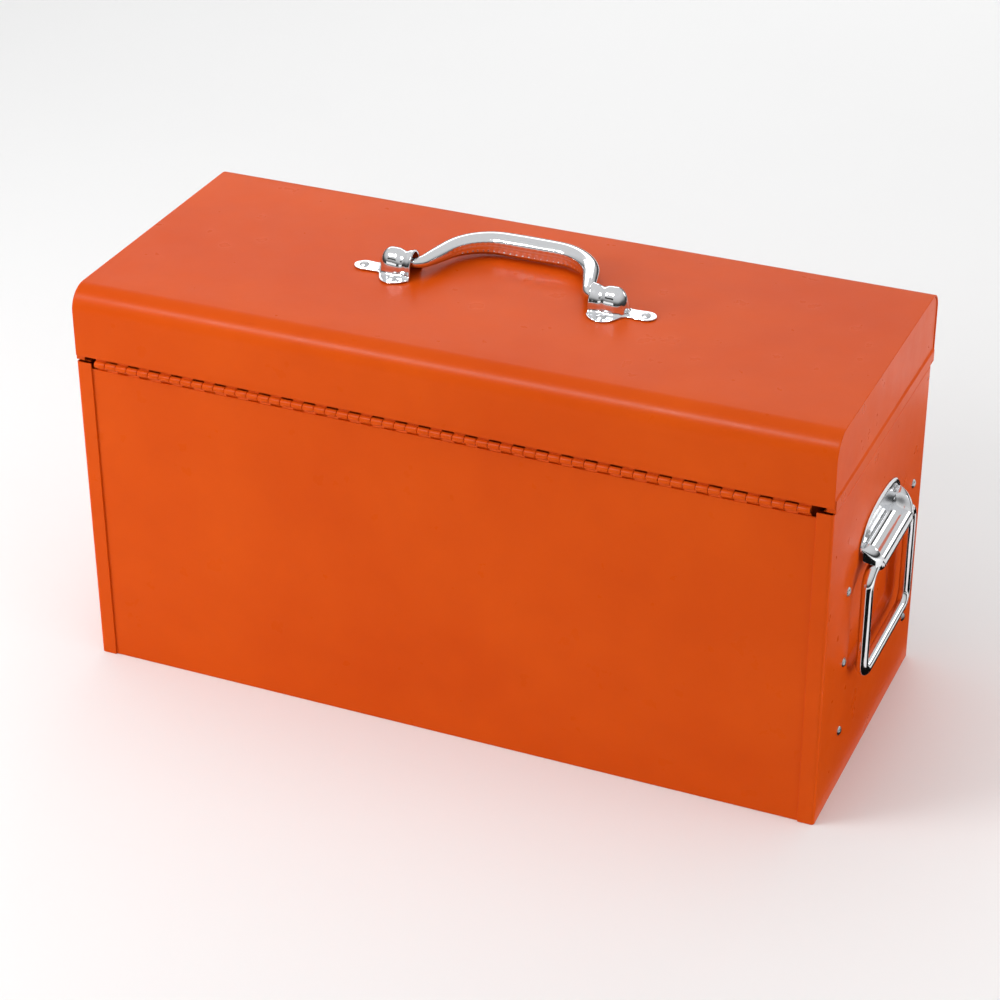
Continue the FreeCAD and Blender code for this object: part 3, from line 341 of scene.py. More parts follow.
class Finish:
    """A node material under construction."""

    def __init__(self, name):
        self.material = bpy.data.materials.get(name) or bpy.data.materials.new(name)
        self.material.use_nodes = True
        self.tree = self.material.node_tree
        self.tree.nodes.clear()
        self.shader = self.add("ShaderNodeBsdfPrincipled")
        out = self.add("ShaderNodeOutputMaterial")
        self.join(self.shader.outputs[0], out.inputs[0])
        self.place = self.add("ShaderNodeTexCoord").outputs["Object"]

    def add(self, kind, **settings):
        node = self.tree.nodes.new(kind)
        for key, value in settings.items():
            setattr(node, key, value)
        return node

    def join(self, source, target):
        self.tree.links.new(source, target)

    def stretched(self, scale):
        node = self.add("ShaderNodeMapping")
        node.inputs["Scale"].default_value = scale
        self.join(self.place, node.inputs["Vector"])
        return node.outputs[0]

    def noise(self, scale, detail=2.0, roughness=0.5, place=None):
        node = self.add("ShaderNodeTexNoise")
        node.inputs["Scale"].default_value = scale
        node.inputs["Detail"].default_value = detail
        node.inputs["Roughness"].default_value = roughness
        self.join(place or self.place, node.inputs["Vector"])
        return node.outputs["Fac"]

    def remap(self, source, low, high, start=0.3, end=0.7):
        node = self.add("ShaderNodeMapRange")
        for key, value in (("From Min", start), ("From Max", end), ("To Min", low), ("To Max", high)):
            node.inputs[key].default_value = value
        self.join(source, node.inputs["Value"])
        return node.outputs[0]

    def blend(self, factor, first, second):
        node = self.add("ShaderNodeMix", data_type="RGBA")
        self.join(factor, node.inputs[0])
        for socket, value in ((node.inputs[6], first), (node.inputs[7], second)):
            if isinstance(value, bpy.types.NodeSocket):
                self.join(value, socket)
            else:
                socket.default_value = (*value, 1.0)
        return node.outputs[2]

    def bump(self, height, strength, distance, onto=None):
        node = self.add("ShaderNodeBump")
        node.inputs["Strength"].default_value = strength
        node.inputs["Distance"].default_value = distance
        self.join(height, node.inputs["Height"])
        if onto is not None:
            self.join(onto, node.inputs["Normal"])
        return node.outputs[0]

    def set(self, key, value):
        socket = self.shader.inputs[key]
        if isinstance(value, bpy.types.NodeSocket):
            self.join(value, socket)
        else:
            socket.default_value = value


def powder_coat():
    """Satin orange powder coat: slight orange peel, uneven thickness, and convex edges lightened, partly for paint
    thinned there and partly as a painted highlight along the edges.
    """
    c = colours()
    f = Finish("orange_paint")
    patches = f.remap(f.noise(9.0, 3.0), 0.0, 1.0)
    base = f.blend(patches, c.coat, c.coat_deep)
    mottle = f.remap(f.noise(38.0, 3.0, 0.6), 0.0, 0.10)
    base = f.blend(mottle, base, tuple(x * 0.72 for x in c.coat_deep))
    # Convex edges lightened: partly a thinner coat over the edge, partly a painted highlight along the sheet edges.
    thin_coat_and_edge_highlight = f.remap(f.add("ShaderNodeNewGeometry").outputs["Pointiness"], 0.0, 0.35, 0.57, 0.68)
    base = f.blend(thin_coat_and_edge_highlight, base, tuple(min(1.0, x * 1.25 + 0.03) for x in c.coat))
    f.set("Base Color", base)
    f.set("Roughness", f.remap(f.noise(60.0, 4.0), 0.27, 0.34))
    f.set("Specular IOR Level", 0.07)
    peel = f.bump(f.noise(620.0, 2.0, 0.45), 0.05, 0.0003)
    f.set("Normal", f.bump(f.noise(140.0, 2.0), 0.05, 0.001, onto=peel))


def chrome_plate():
    """Bright chrome over pressed steel: faint polishing lines, soft waviness and a few dull specks."""
    c = colours()
    f = Finish("chrome")
    dull = f.remap(f.noise(1500.0, 2.0), 0.0, 0.5, 0.62, 0.75)
    f.set("Base Color", f.blend(dull, c.chrome, tuple(x * 0.8 for x in c.chrome)))
    f.set("Metallic", 1.0)
    lines = f.noise(700.0, 2.0, place=f.stretched((0.08, 1.0, 1.0)))
    f.set("Roughness", f.remap(lines, 0.05, 0.13))
    wave = f.bump(f.noise(90.0, 2.0), 0.10, 0.0008)
    f.set("Normal", f.bump(lines, 0.02, 0.0001, onto=wave))


def zinc_plate():
    """Zinc-plated steel: rolled grain along the length, cloudy passivation and small dark pits."""
    c = colours()
    f = Finish("zinc_steel")
    cloud = f.remap(f.noise(70.0, 4.0, 0.6), 0.0, 1.0)
    base = f.blend(cloud, c.zinc, tuple(x * 0.78 for x in c.zinc))
    pits = f.remap(f.noise(1900.0, 1.0), 0.0, 0.5, 0.66, 0.78)
    f.set("Base Color", f.blend(pits, base, (0.30, 0.29, 0.28)))
    f.set("Metallic", 1.0)
    grain = f.noise(900.0, 3.0, place=f.stretched((0.05, 1.0, 1.0)))
    f.set("Roughness", f.remap(grain, 0.22, 0.40))
    f.set("Normal", f.bump(grain, 0.08, 0.0002))


def floor_paint():
    """Pale matt floor with the faintest cloudiness."""
    c = colours()
    f = Finish("stage_floor")
    cloud = f.remap(f.noise(1.6, 3.0), 0.0, 1.0)
    f.set("Base Color", f.blend(cloud, c.floor, tuple(x * 0.985 for x in c.floor)))
    f.set("Roughness", f.remap(f.noise(30.0, 3.0), 0.75, 0.9))
    f.set("Specular IOR Level", 0.1)


# ---- stage ---------------------------------------------------------------------


def soft_light(name, place, aim, width, height, power, only_gloss=False):
    """A rectangular soft light aimed at a point: it lights the paint, or shows in reflections alone."""
    lamp = bpy.data.lights.new(name, "AREA")
    lamp.shape, lamp.size, lamp.size_y = "RECTANGLE", width, height
    lamp.energy = power
    made = bpy.data.objects.new(name, lamp)
    bpy.context.scene.collection.objects.link(made)
    made.location = place
    made.rotation_mode = "QUATERNION"
    made.rotation_quaternion = (Vector(aim) - Vector(place)).to_track_quat("-Z", "Y")
    made.visible_camera = False
    made.visible_diffuse, made.visible_glossy = not only_gloss, only_gloss
    return made


def dark_card(name, corners):
    """A black card that shows only in reflections: those lying on the floor are painted shade, standing in for the
    floor's shadow beside the box; the one above darkens the chrome as a studio flag does.
    """
    mesh = bpy.data.meshes.new(name)
    mesh.from_pydata(corners, [], [(0, 1, 2, 3)])
    mesh.materials.append(bpy.data.materials["stage_card"])
    card = bpy.data.objects.new(name, mesh)
    bpy.context.scene.collection.objects.link(card)
    card.visible_camera = card.visible_diffuse = card.visible_shadow = False


class CHEST_OT_stage(bpy.types.Operator):
    """Floor, surround, soft lights and camera"""

    bl_idname = "chest.stage"
    bl_label = "Stage"

    def execute(self, context):
        floor_paint()
        card = Finish("stage_card")
        card.set("Base Color", card.blend(card.noise(3.0), (0.004, 0.004, 0.004), (0.008, 0.008, 0.008)))
        card.set("Roughness", card.remap(card.noise(20.0), 0.9, 1.0))
        card.set("Specular IOR Level", 0.0)
        shape = Shape()
        half, count = 6.0, 24
        shape.grid([[Vector((x, y, -0.0002)) for x in spread(-half, half, count)]
                    for y in spread(-half, half, count)])
        mesh = bpy.data.meshes.new("stage_floor")
        mesh.from_pydata([tuple(p) for p in shape.points], [], shape.faces)
        mesh.materials.append(bpy.data.materials["stage_floor"])
        floor = bpy.data.objects.new("stage_floor", mesh)
        context.scene.collection.objects.link(floor)
        self.surround(context)
        self.lights()
        self.camera(context)
        context.scene.view_settings.view_transform = "Standard"
        context.scene.view_settings.look = "None"
        return {"FINISHED"}

    @staticmethod
    def surround(context):
        """World: pale above, a little darker at the horizon."""
        world = bpy.data.worlds.new("surround")
        context.scene.world = world
        world.use_nodes = True
        tree = world.node_tree
        tree.nodes.clear()
        place = tree.nodes.new("ShaderNodeTexCoord")
        split = tree.nodes.new("ShaderNodeSeparateXYZ")
        ramp = tree.nodes.new("ShaderNodeValToRGB")
        back = tree.nodes.new("ShaderNodeBackground")
        out = tree.nodes.new("ShaderNodeOutputWorld")
        tree.links.new(place.outputs["Generated"], split.inputs[0])
        tree.links.new(split.outputs["Z"], ramp.inputs[0])
        tree.links.new(ramp.outputs[0], back.inputs[0])
        tree.links.new(back.outputs[0], out.inputs[0])
        tone = colours().surround
        stops = ((0.0, 0.04), (0.13, 0.10), (0.32, 0.75), (0.62, 1.0))
        while len(ramp.color_ramp.elements) < len(stops):
            ramp.color_ramp.elements.new(0.5)
        for element, (at, level) in zip(ramp.color_ramp.elements, stops):
            element.position = at
            element.color = (*(x * level for x in tone), 1.0)
        back.inputs["Strength"].default_value = 0.86

    @staticmethod
    def lights():
        middle = (0.0, 0.0, 0.14)
        soft_light("key", (1.30, 1.00, 0.85), (0.20, 0.05, 0.14), 0.8, 0.8, 17.0)
        soft_light("overhead", (0.3, 0.1, 1.9), middle, 1.8, 1.4, 6.0)
        soft_light("fill", (-1.5, 0.1, 0.28), (-0.3, 0.0, 0.0), 1.0, 0.5, 6.5)
        soft_light("front_fill", (0.2, -2.0, 1.1), middle, 1.6, 1.0, 8.0)
        soft_light("top_sheen", (0.9, -1.7, 1.15), (0.0, 0.0, 0.28), 2.0, 0.9, 7.0, only_gloss=True)
        soft_light("rod_sheen", (-1.25, -1.65, 0.75), (-0.27, 0.0, 0.1), 0.7, 0.5, 1.8, only_gloss=True)
        soft_light("seam_sheen", (0.70, 1.90, 0.42), (0.0, 0.0, 0.28), 1.3, 0.30, 1.2, only_gloss=True)
        for name, x, place_on_lid in (("bend_sheen_a", 1.00, 0.25), ("bend_sheen_b", 0.38, -0.25)):
            soft_light(name, (x, 1.25, 1.75), (place_on_lid, 0.1, 0.27), 0.36, 0.36, 22.0, only_gloss=True)
        # Black cards lying on the floor by the box: painted shade, the floor's shadow beside the box as it shows in
        # the paint and chrome reflections.
        for name, near, far, front, rear in (("floor_shade_card_by_end", -0.263, -0.37, -0.48, 0.14),
                                             ("floor_shade_card_beyond", -0.37, -0.55, -0.15, 0.0),
                                             ("floor_shade_card_behind", -0.263, -0.9, 0.14, 0.9)):
            dark_card(name, [(near, rear, 0.001), (near, front, 0.001), (far, front, 0.001), (far, rear, 0.001)])
        dark_card("card_above", [(0.2, 1.95, 1.0), (1.3, 1.65, 1.0), (1.35, 1.7, 1.3), (0.2, 2.0, 1.3)])

    @staticmethod
    def camera(context):
        data = bpy.data.cameras.new("camera")
        data.sensor_width, data.lens = 36.0, 98.33
        data.clip_start, data.clip_end = 0.05, 60.0
        camera = bpy.data.objects.new("camera", data)
        context.scene.collection.objects.link(camera)
        ahead = Vector((0.34257, -0.79433, -0.50168)).normalized()
        right = ahead.cross(Vector((0.0, 0.0, 1.0))).normalized()
        up = right.cross(ahead)
        turn = Matrix((right, up, -ahead)).transposed()
        roll = Matrix.Rotation(math.radians(CAMERA_ROLL), 3, "Z")
        camera.matrix_world = Matrix.Translation(CAMERA_PLACE) @ (turn @ roll).to_4x4()
        context.scene.camera = camera


CAMERA_PLACE = (-0.6316, 1.4704, 1.0515)
CAMERA_ROLL = -0.23


class CHEST_OT_finishes(bpy.types.Operator):
    """Powder coat, chrome and zinc"""

    bl_idname = "chest.finishes"
    bl_label = "Finishes"

    def execute(self, context):
        powder_coat()
        chrome_plate()
        zinc_plate()
        return {"FINISHED"}


# ---- case ----------------------------------------------------------------------


class CHEST_OT_end_panels(bpy.types.Operator):
    """Both end panels with their strips, folded tops and pressed finger recesses"""

    bl_idname = "chest.end_panels"
    bl_label = "End panels"

    def execute(self, context):
        for word, side in SIDES:
            self.panel(word, side)
        return {"FINISHED"}

    def panel(self, word, side):
        s = sizes()
        low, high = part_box(f"{word}_end_panel")
        outer = max(abs(low.x), abs(high.x))
        rear, front, top = high.y, low.y, high.z
        r, bend = s.corner, s.top_bend
        heights = self.heights(top)
        weld_places = [top * share for share in (0.06, 0.5, 0.94)]

        def upright(x, y, z, nx, ny):
            press = self.recess(y, z) if abs(ny) < 0.01 else 0.0
            if ny > 0.99:
                d2 = min((z - w) ** 2 for w in weld_places) + (x - (outer - s.rear_lip * 0.5)) ** 2
                press = 0.00014 * math.exp(-d2 / (1.7 * MM) ** 2)
            return Vector((side * (x - nx * press), y - ny * press, z))

        rear_line = [(x, rear, 0, 1) for x in spread(outer - s.rear_lip, outer - r, 9)]
        rear_line += self.corner(outer - r, rear - r, r, 90, 0)
        front_line = self.corner(outer - r, front + r, r, 0, -90)
        front_line += [(x, front, 0, -1) for x in spread(outer - r, outer - s.front_lip, 3)]
        lip_rear, lip_front = rear - 4 * s.wall, front + 3 * s.wall
        shape = Shape()
        first = rear_line + [(outer, y, 1, 0) for y in spread(rear - r, lip_rear, 2)]
        middle = [(outer, y, 1, 0) for y in self.widths(lip_rear, lip_front)]
        last = [(outer, y, 1, 0) for y in spread(lip_front, front + r, 2)] + front_line
        for line in (first, last):
            shape.grid([[upright(x, y, z, nx, ny) for x, y, nx, ny in line] for z in heights + [top]])
        rows = [[upright(x, y, z, nx, ny) for x, y, nx, ny in middle] for z in heights]
        start = heights[-1]
        drop = top - start
        for k in range(1, 6):
            a = math.pi / 2 * k / 5
            rows.append([Vector((side * (outer - drop * (1 - math.cos(a))), y, start + drop * math.sin(a)))
                         for _, y, _, _ in middle])
        rows.append([Vector((side * (outer - s.top_lip), y, top)) for _, y, _, _ in middle])
        shape.grid(rows)
        piece(f"{word}_end_sheet", shape, "case", "orange_paint", [f"{word}_end_panel"],
              inside=(side * (outer - 0.12), 0, top / 2), wall=s.wall, edge=s.edge)

    @staticmethod
    def corner(x, y, radius, start, end):
        angles = [math.radians(a) for a in spread(start, end, 5)]
        return [(x + radius * math.cos(a), y + radius * math.sin(a), math.cos(a), math.sin(a)) for a in angles]

    @staticmethod
    def recess(y, z):
        """How far the sheet is pressed in at a place on the end wall."""
        s = sizes()
        half_y, half_z = s.recess_width / 2, (s.recess_high - s.recess_low) / 2
        dy = abs(y) - half_y + s.recess_corner
        dz = abs(z - (s.recess_high + s.recess_low) / 2) - half_z + s.recess_corner
        out = math.hypot(max(dy, 0), max(dz, 0)) + min(max(dy, dz), 0) - s.recess_corner
        return s.recess_depth * ease((0.5 * MM - out) / s.recess_wall)

    @staticmethod
    def heights(top):
        """Rows up the wall: close together where the recess's walls and the weld marks lie."""
        s = sizes()
        zone = s.recess_corner + s.recess_wall
        rows = spread(0, 9 * MM, 2) + spread(9 * MM, 19 * MM, 12)[1:]
        rows += spread(19 * MM, s.recess_low - 2 * MM, 6)[1:]
        rows += spread(s.recess_low - 2 * MM, s.recess_low + zone, 20)[1:]
        rows += spread(s.recess_low + zone, s.recess_high - zone, 20)[1:]
        rows += spread(s.recess_high - zone, s.recess_high + 2 * MM, 20)[1:]
        rows += spread(s.recess_high + 2 * MM, top - 19 * MM, 5)[1:]
        rows += spread(top - 19 * MM, top - 9 * MM, 12)[1:] + spread(top - 9 * MM, top - s.top_bend, 2)[1:]
        return rows

    @staticmethod
    def widths(start, end):
        s = sizes()
        edge, zone = s.recess_width / 2 + 2 * MM, s.recess_corner + s.recess_wall + 2 * MM
        rows = spread(start, edge, 5) + spread(edge, edge - zone, 20)[1:]
        rows += spread(edge - zone, -edge + zone, 8)[1:]
        rows += spread(-edge + zone, -edge, 20)[1:] + spread(-edge, end, 5)[1:]
        return rows


class CHEST_OT_case_walls(bpy.types.Operator):
    """Rear wall, upper front wall, floors, tray rests and drawer runners"""

    bl_idname = "chest.case_walls"
    bl_label = "Case walls"

    def execute(self, context):
        s = sizes()
        low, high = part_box("rear_panel")
        shape = Shape()

        def wavy(x, z, y):
            wave = math.sin(7.0 * x + 1.0) * math.cos(9.0 * z + 0.6) + 0.5 * math.sin(17.0 * x + 5.0 * z)
            fade = ease((abs(high.x) - abs(x)) / 0.05) * ease(z / 0.03) * ease((high.z - z) / 0.03)
            return Vector((x, y - 0.10 * MM * (1 + wave) * fade, z))

        shape.grid([[wavy(x, z, high.y) for x in spread(low.x, high.x, 52)]
                    for z in spread(low.z, high.z, 24)])
        piece("rear_sheet", shape, "case", "orange_paint", ["rear_panel"],
              inside=(0, 0, high.z / 2), wall=s.wall, edge=s.edge)
        low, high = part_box("front_upper_panel")
        shape = Shape()
        line = folded([(low.y + 7 * MM, low.z), (low.y, low.z), (low.y, high.z), (low.y + 5 * MM, high.z)],
                      [1.6 * MM, 1.6 * MM])
        bent_sheet(shape, line, -s.wall, lambda u, v, w: Vector((w, u, v)), spread(low.x, high.x, 12))
        piece("front_upper_sheet", shape, "case", "orange_paint", ["front_upper_panel"], edge=s.edge * 0.7)
        low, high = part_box("bottom_panel")
        shape = Shape()
        half_x, half_y, mid_y = high.x, (high.y - low.y) / 2, (high.y + low.y) / 2
        tall, w = high.z, s.wall
        profile = [(3 * MM, 0), (1 * MM, 0.3 * MM), (0.3 * MM, 1 * MM), (0, 2.5 * MM), (0, tall - 0.2 * MM),
                   (0.2 * MM, tall), (w - 0.2 * MM, tall), (w, tall - 0.2 * MM), (w, w + 1.6 * MM),
                   (w + 0.5 * MM, w + 0.5 * MM), (w + 1.6 * MM, w)]
        drawn(shape, profile, half_x, half_y, 4 * MM, lambda u, v, c: Vector((u, v + mid_y, c)))
        piece("bottom_sheet", shape, "case", "orange_paint", ["bottom_panel"])
        keep_node("compartment_floor", "orange_paint")
        for word, side in SIDES:
            self.tray_rest(word, side)
            for level in DRAWERS:
                self.runner(f"{level}_{word}_runner", side)
        return {"FINISHED"}

    @staticmethod
    def tray_rest(word, side):
        """Rounded angle that carries one end of the tray."""
        s = sizes()
        low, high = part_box(f"{word}_tray_rest")
        near, far = sorted((abs(low.x), abs(high.x)))
        shape = Shape()
        line = folded([(far, low.z), (far, high.z), (near, high.z)], [1.8 * MM])
        bent_sheet(shape, line, s.wall, lambda u, v, w: Vector((side * u, w, v)), spread(low.y, high.y, 10))
        piece(f"{word}_rest_angle", shape, "case", "orange_paint", [f"{word}_tray_rest"], edge=s.edge * 0.7)

    @staticmethod
    def runner(node, side):
        """Rolled channel with its two spacers to the end wall."""
        s = sizes()
        low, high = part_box(node)
        far = max(abs(low.x), abs(high.x))
        near = min(abs(low.x), abs(high.x))
        back = near + 8 * MM
        shape = Shape()
        line = folded([(near, low.z), (back, low.z), (back, high.z), (near, high.z)], [1.6 * MM] * 2)
        bent_sheet(shape, line, s.wall, lambda u, v, w: Vector((side * u, w, v)), spread(low.y, high.y, 12))
        middle = (low.z + high.z) / 2
        rivet_low, rivet_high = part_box(f"{'right' if side > 0 else 'left'}_runner_rivets")
        for y in (rivet_low.y + s.rivet_head, rivet_high.y - s.rivet_head):
            run = far - back + 0.3 * MM
            turned(shape, [(0, 0), (4.6 * MM, 0), (5 * MM, 0.4 * MM), (5 * MM, run - 0.4 * MM),
                           (4.6 * MM, run), (0, run)],
                   (side * (back - 0.3 * MM), y, middle), (side, 0, 0), 20)
        piece(node + "_channel", shape, "case", "zinc_steel", [node], edge=0.2 * MM)


# ---- piano hinge ---------------------------------------------------------------


class CHEST_OT_piano_hinge(bpy.types.Operator):
    """Both leaves of the full-length hinge, with rolled knuckles and open windows"""

    bl_idname = "chest.piano_hinge"
    bl_label = "Piano hinge"

    def execute(self, context):
        pin_low, pin_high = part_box("hinge_pin")
        centre = ((pin_low.y + pin_high.y) / 2, (pin_low.z + pin_high.z) / 2)
        leaf_low, leaf_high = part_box("hinge_upper_leaf")
        shell_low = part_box("lid_shell")[0]
        barrel = leaf_high.y - centre[0]
        pitch = sizes().knuckle
        count = round((pin_high.x - pin_low.x) / pitch)
        spans = [(n, (n - count / 2) * pitch, (n + 1 - count / 2) * pitch) for n in range(count)]
        for name, node, body, odd in (("hinge_upper", "hinge_upper_leaf", "lid", 0),
                                      ("hinge_lower", "hinge_lower_leaf", "case", 1)):
            self.leaf(name, node, body, [k for k in spans if k[0] % 2 == odd], centre, barrel)
        keep_node("hinge_pin", "zinc_steel")
        return {"FINISHED"}

    @staticmethod
    def leaf(name, node, body, knuckles, centre, barrel):
        low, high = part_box(node)
        y, z = centre
        upper = body == "lid"
        shape = Shape()
        gap = 0.17 * MM
        leaf = 1.0 * MM
        reach = barrel + 1.3 * MM
        for _, start, end in knuckles:
            start, end = start + gap, end - gap
            run = end - start
            turned(shape, [(1.15 * MM, 0), (barrel - 0.35 * MM, 0), (barrel - 0.1 * MM, 0.1 * MM),
                           (barrel, 0.4 * MM), (barrel, run / 2), (barrel, run - 0.4 * MM),
                           (barrel - 0.1 * MM, run - 0.1 * MM), (barrel - 0.35 * MM, run), (1.15 * MM, run)],
                   (start, y, z), (1, 0, 0), 22)
            inner = y - barrel
            if upper:
                line = [(inner + 0.06 * MM, z), (inner + 0.06 * MM, z + reach + leaf)]
                bent_sheet(shape, line, -leaf, lambda u, v, w: Vector((w, u, v)), [start, end])
            else:
                line = [(inner + 0.06 * MM, z), (inner + 0.06 * MM, z - reach - leaf)]
                bent_sheet(shape, line, leaf, lambda u, v, w: Vector((w, u, v)), [start, end])
        first, last = low.x, high.x
        if upper:
            line = [(low.y + 0.05 * MM, z + reach), (low.y + 0.05 * MM, high.z)]
            bent_sheet(shape, line, -leaf, lambda u, v, w: Vector((w, u, v)), spread(first, last, 24))
        else:
            inner = y - barrel + leaf
            line = folded([(inner, z - reach), (low.y + leaf, z - reach - 1.2 * MM), (low.y + leaf, low.z)],
                          [0.4 * MM], steps=3)
            bent_sheet(shape, line, -leaf, lambda u, v, w: Vector((w, u, v)), spread(first, last, 24))
        piece(name, shape, body, "orange_paint", [node])


# ---- lid -----------------------------------------------------------------------


class CHEST_OT_lid(bpy.types.Operator):
    """Wrapped lid sheet, its two end caps and the bright strip along its front"""

    bl_idname = "chest.lid"
    bl_label = "Lid"

    def execute(self, context):
        self.wrap()
        for word, side in SIDES:
            self.end_cap(word, side)
        self.front_trim()
        return {"FINISHED"}

    @staticmethod
    def outline(inset, steps=10):
        """The lid's side view, rear foot to front foot."""
        s = sizes()
        low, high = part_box("lid_shell")
        foot = high.z - 51 * MM
        rear_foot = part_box("hinge_upper_leaf")[0].z
        del rear_foot
        corners = [(high.y - inset, low.z), (high.y - inset, high.z - inset),
                   (low.y + inset, high.z - inset), (low.y + inset, low.z)]
        del foot
        return folded(corners, [s.rear_bend - inset, s.front_bend - inset], steps)

    def wrap(self):
        s = sizes()
        low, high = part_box("lid_shell")
        pin_low, pin_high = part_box("hinge_pin")
        rear_foot = (pin_low.z + pin_high.z) / 2 + 3.6 * MM
        line = self.outline(0.0)
        line[0] = (line[0][0], rear_foot)
        dense = []
        for n in range(len(line) - 1):
            a, b = Vector(line[n]), Vector(line[n + 1])
            parts = max(1, round((b - a).length / (10 * MM)))
            dense += [tuple(a.lerp(b, k / parts)) for k in range(parts)]
        dense.append(line[-1])
        stations = [low.x + t for t in (0, 1.5 * MM, 4 * MM)] + spread(low.x + 14 * MM, high.x - 14 * MM, 40)
        stations += [high.x - 4 * MM, high.x - 1.5 * MM, high.x]
        middle = Vector((0, 0, (low.z + high.z) / 2))

        def skin(y, z, x):
            fade = ease((high.x - abs(x)) / 0.04)
            wave = math.sin(8.0 * x + 0.4) * math.cos(13.0 * y + 0.8) + 0.6 * math.sin(15.0 * x - 9.0 * y)
            flat_top = ease((z - high.z + 0.3 * MM) / (0.3 * MM)) * ease((high.y - 0.02 - abs(y)) / 0.03)
            return Vector((x, y, z - 0.09 * MM * (1 + wave) * fade * flat_top))

        shape = Shape()
        shape.grid([[skin(y, z, x) for y, z in dense] for x in stations])
        piece("lid_wrap", shape, "lid", "orange_paint", ["lid_shell"], inside=middle, wall=s.wall, edge=s.edge)

    def end_cap(self, word, side):
        """End cap: its turned-in edge leaves a fine seam to the wrap, and its foot steps out."""
        s = sizes()
        low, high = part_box(f"lid_{word}_end")
        foot_face = max(abs(low.x), abs(high.x))
        face = foot_face - s.wall
        line = self.outline(s.wall + s.lid_seam, 8)
        ys = [p[0] for p in line]
        tops = {}
        rear, front = ys[0], ys[-1]
        arch = [p for p in line if p[1] > high.z - s.rear_bend - 2 * MM]
        arch = [(line[0][0], arch[0][1])] + arch[1:-1] + [(line[-1][0], arch[-1][1])]
        step = low.z + s.lid_joggle
        columns = []
        dense = []
        for n in range(len(arch) - 1):
            a, b = Vector(arch[n]), Vector(arch[n + 1])
            parts = max(1, round((b - a).length / (12 * MM)))
            dense += [tuple(a.lerp(b, k / parts)) for k in range(parts)]
        dense.append(arch[-1])
        del tops, columns
        joggle = [(low.z, foot_face), (low.z + 2.0 * MM, foot_face), (step - 1.3 * MM, foot_face),
                  (step - 0.9 * MM, foot_face - 0.1 * MM), (step - 0.3 * MM, face + s.wall * 0.5),
                  (step + 0.3 * MM, face + 0.1 * MM), (step + 0.8 * MM, face)]
        rows = [[Vector((side * x, y, z)) for y, _ in dense] for z, x in joggle]
        for k in range(1, 9):
            t = k / 8
            rows.append([Vector((side * face, y, (step + 0.8 * MM) + (top - step - 0.8 * MM) * t))
                         for y, top in dense])
        for drop, back in ((0.15 * MM, 0.35 * MM), (0.15 * MM, 1.1 * MM), (0.15 * MM, 8 * MM)):
            rows.append([Vector((side * (face - back), y, top)) for y, top in dense])
            del drop
        shape = Shape()
        shape.grid(rows)
        for y, edge_top in (dense[0], dense[-1]):
            edge = [r[0] if y == dense[0][0] else r[-1] for r in rows[:-3]]
            turned_in = [Vector((p.x - side * 6 * MM, p.y, p.z)) for p in edge]
            shape.grid([edge, turned_in])
            del edge_top
        piece(f"lid_{word}_cap_sheet", shape, "lid", "orange_paint", [f"lid_{word}_end"],
              inside=(side * (face - 0.05), (rear + front) / 2, (low.z + high.z) / 2),
              wall=s.wall * 0.8, edge=s.edge)

    @staticmethod
    def front_trim():
        """Bright channel along the lid's front, with a crowned face."""
        s = sizes()
        low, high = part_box("lid_front_trim")
        mid = (low.z + high.z) / 2
        line = folded([(high.y, low.z), (low.y + 0.4 * MM, low.z), (low.y, mid),
                       (low.y + 0.4 * MM, high.z), (high.y, high.z)], [1.4 * MM, 20 * MM, 1.4 * MM], steps=5)
        shape = Shape()
        bent_sheet(shape, line, -s.wall, lambda u, v, w: Vector((w, u, v)), spread(low.x, high.x, 20))
        piece("lid_front_strip", shape, "lid", "chrome", ["lid_front_trim"], edge=0.25 * MM)


# ---- top handle ----------------------------------------------------------------


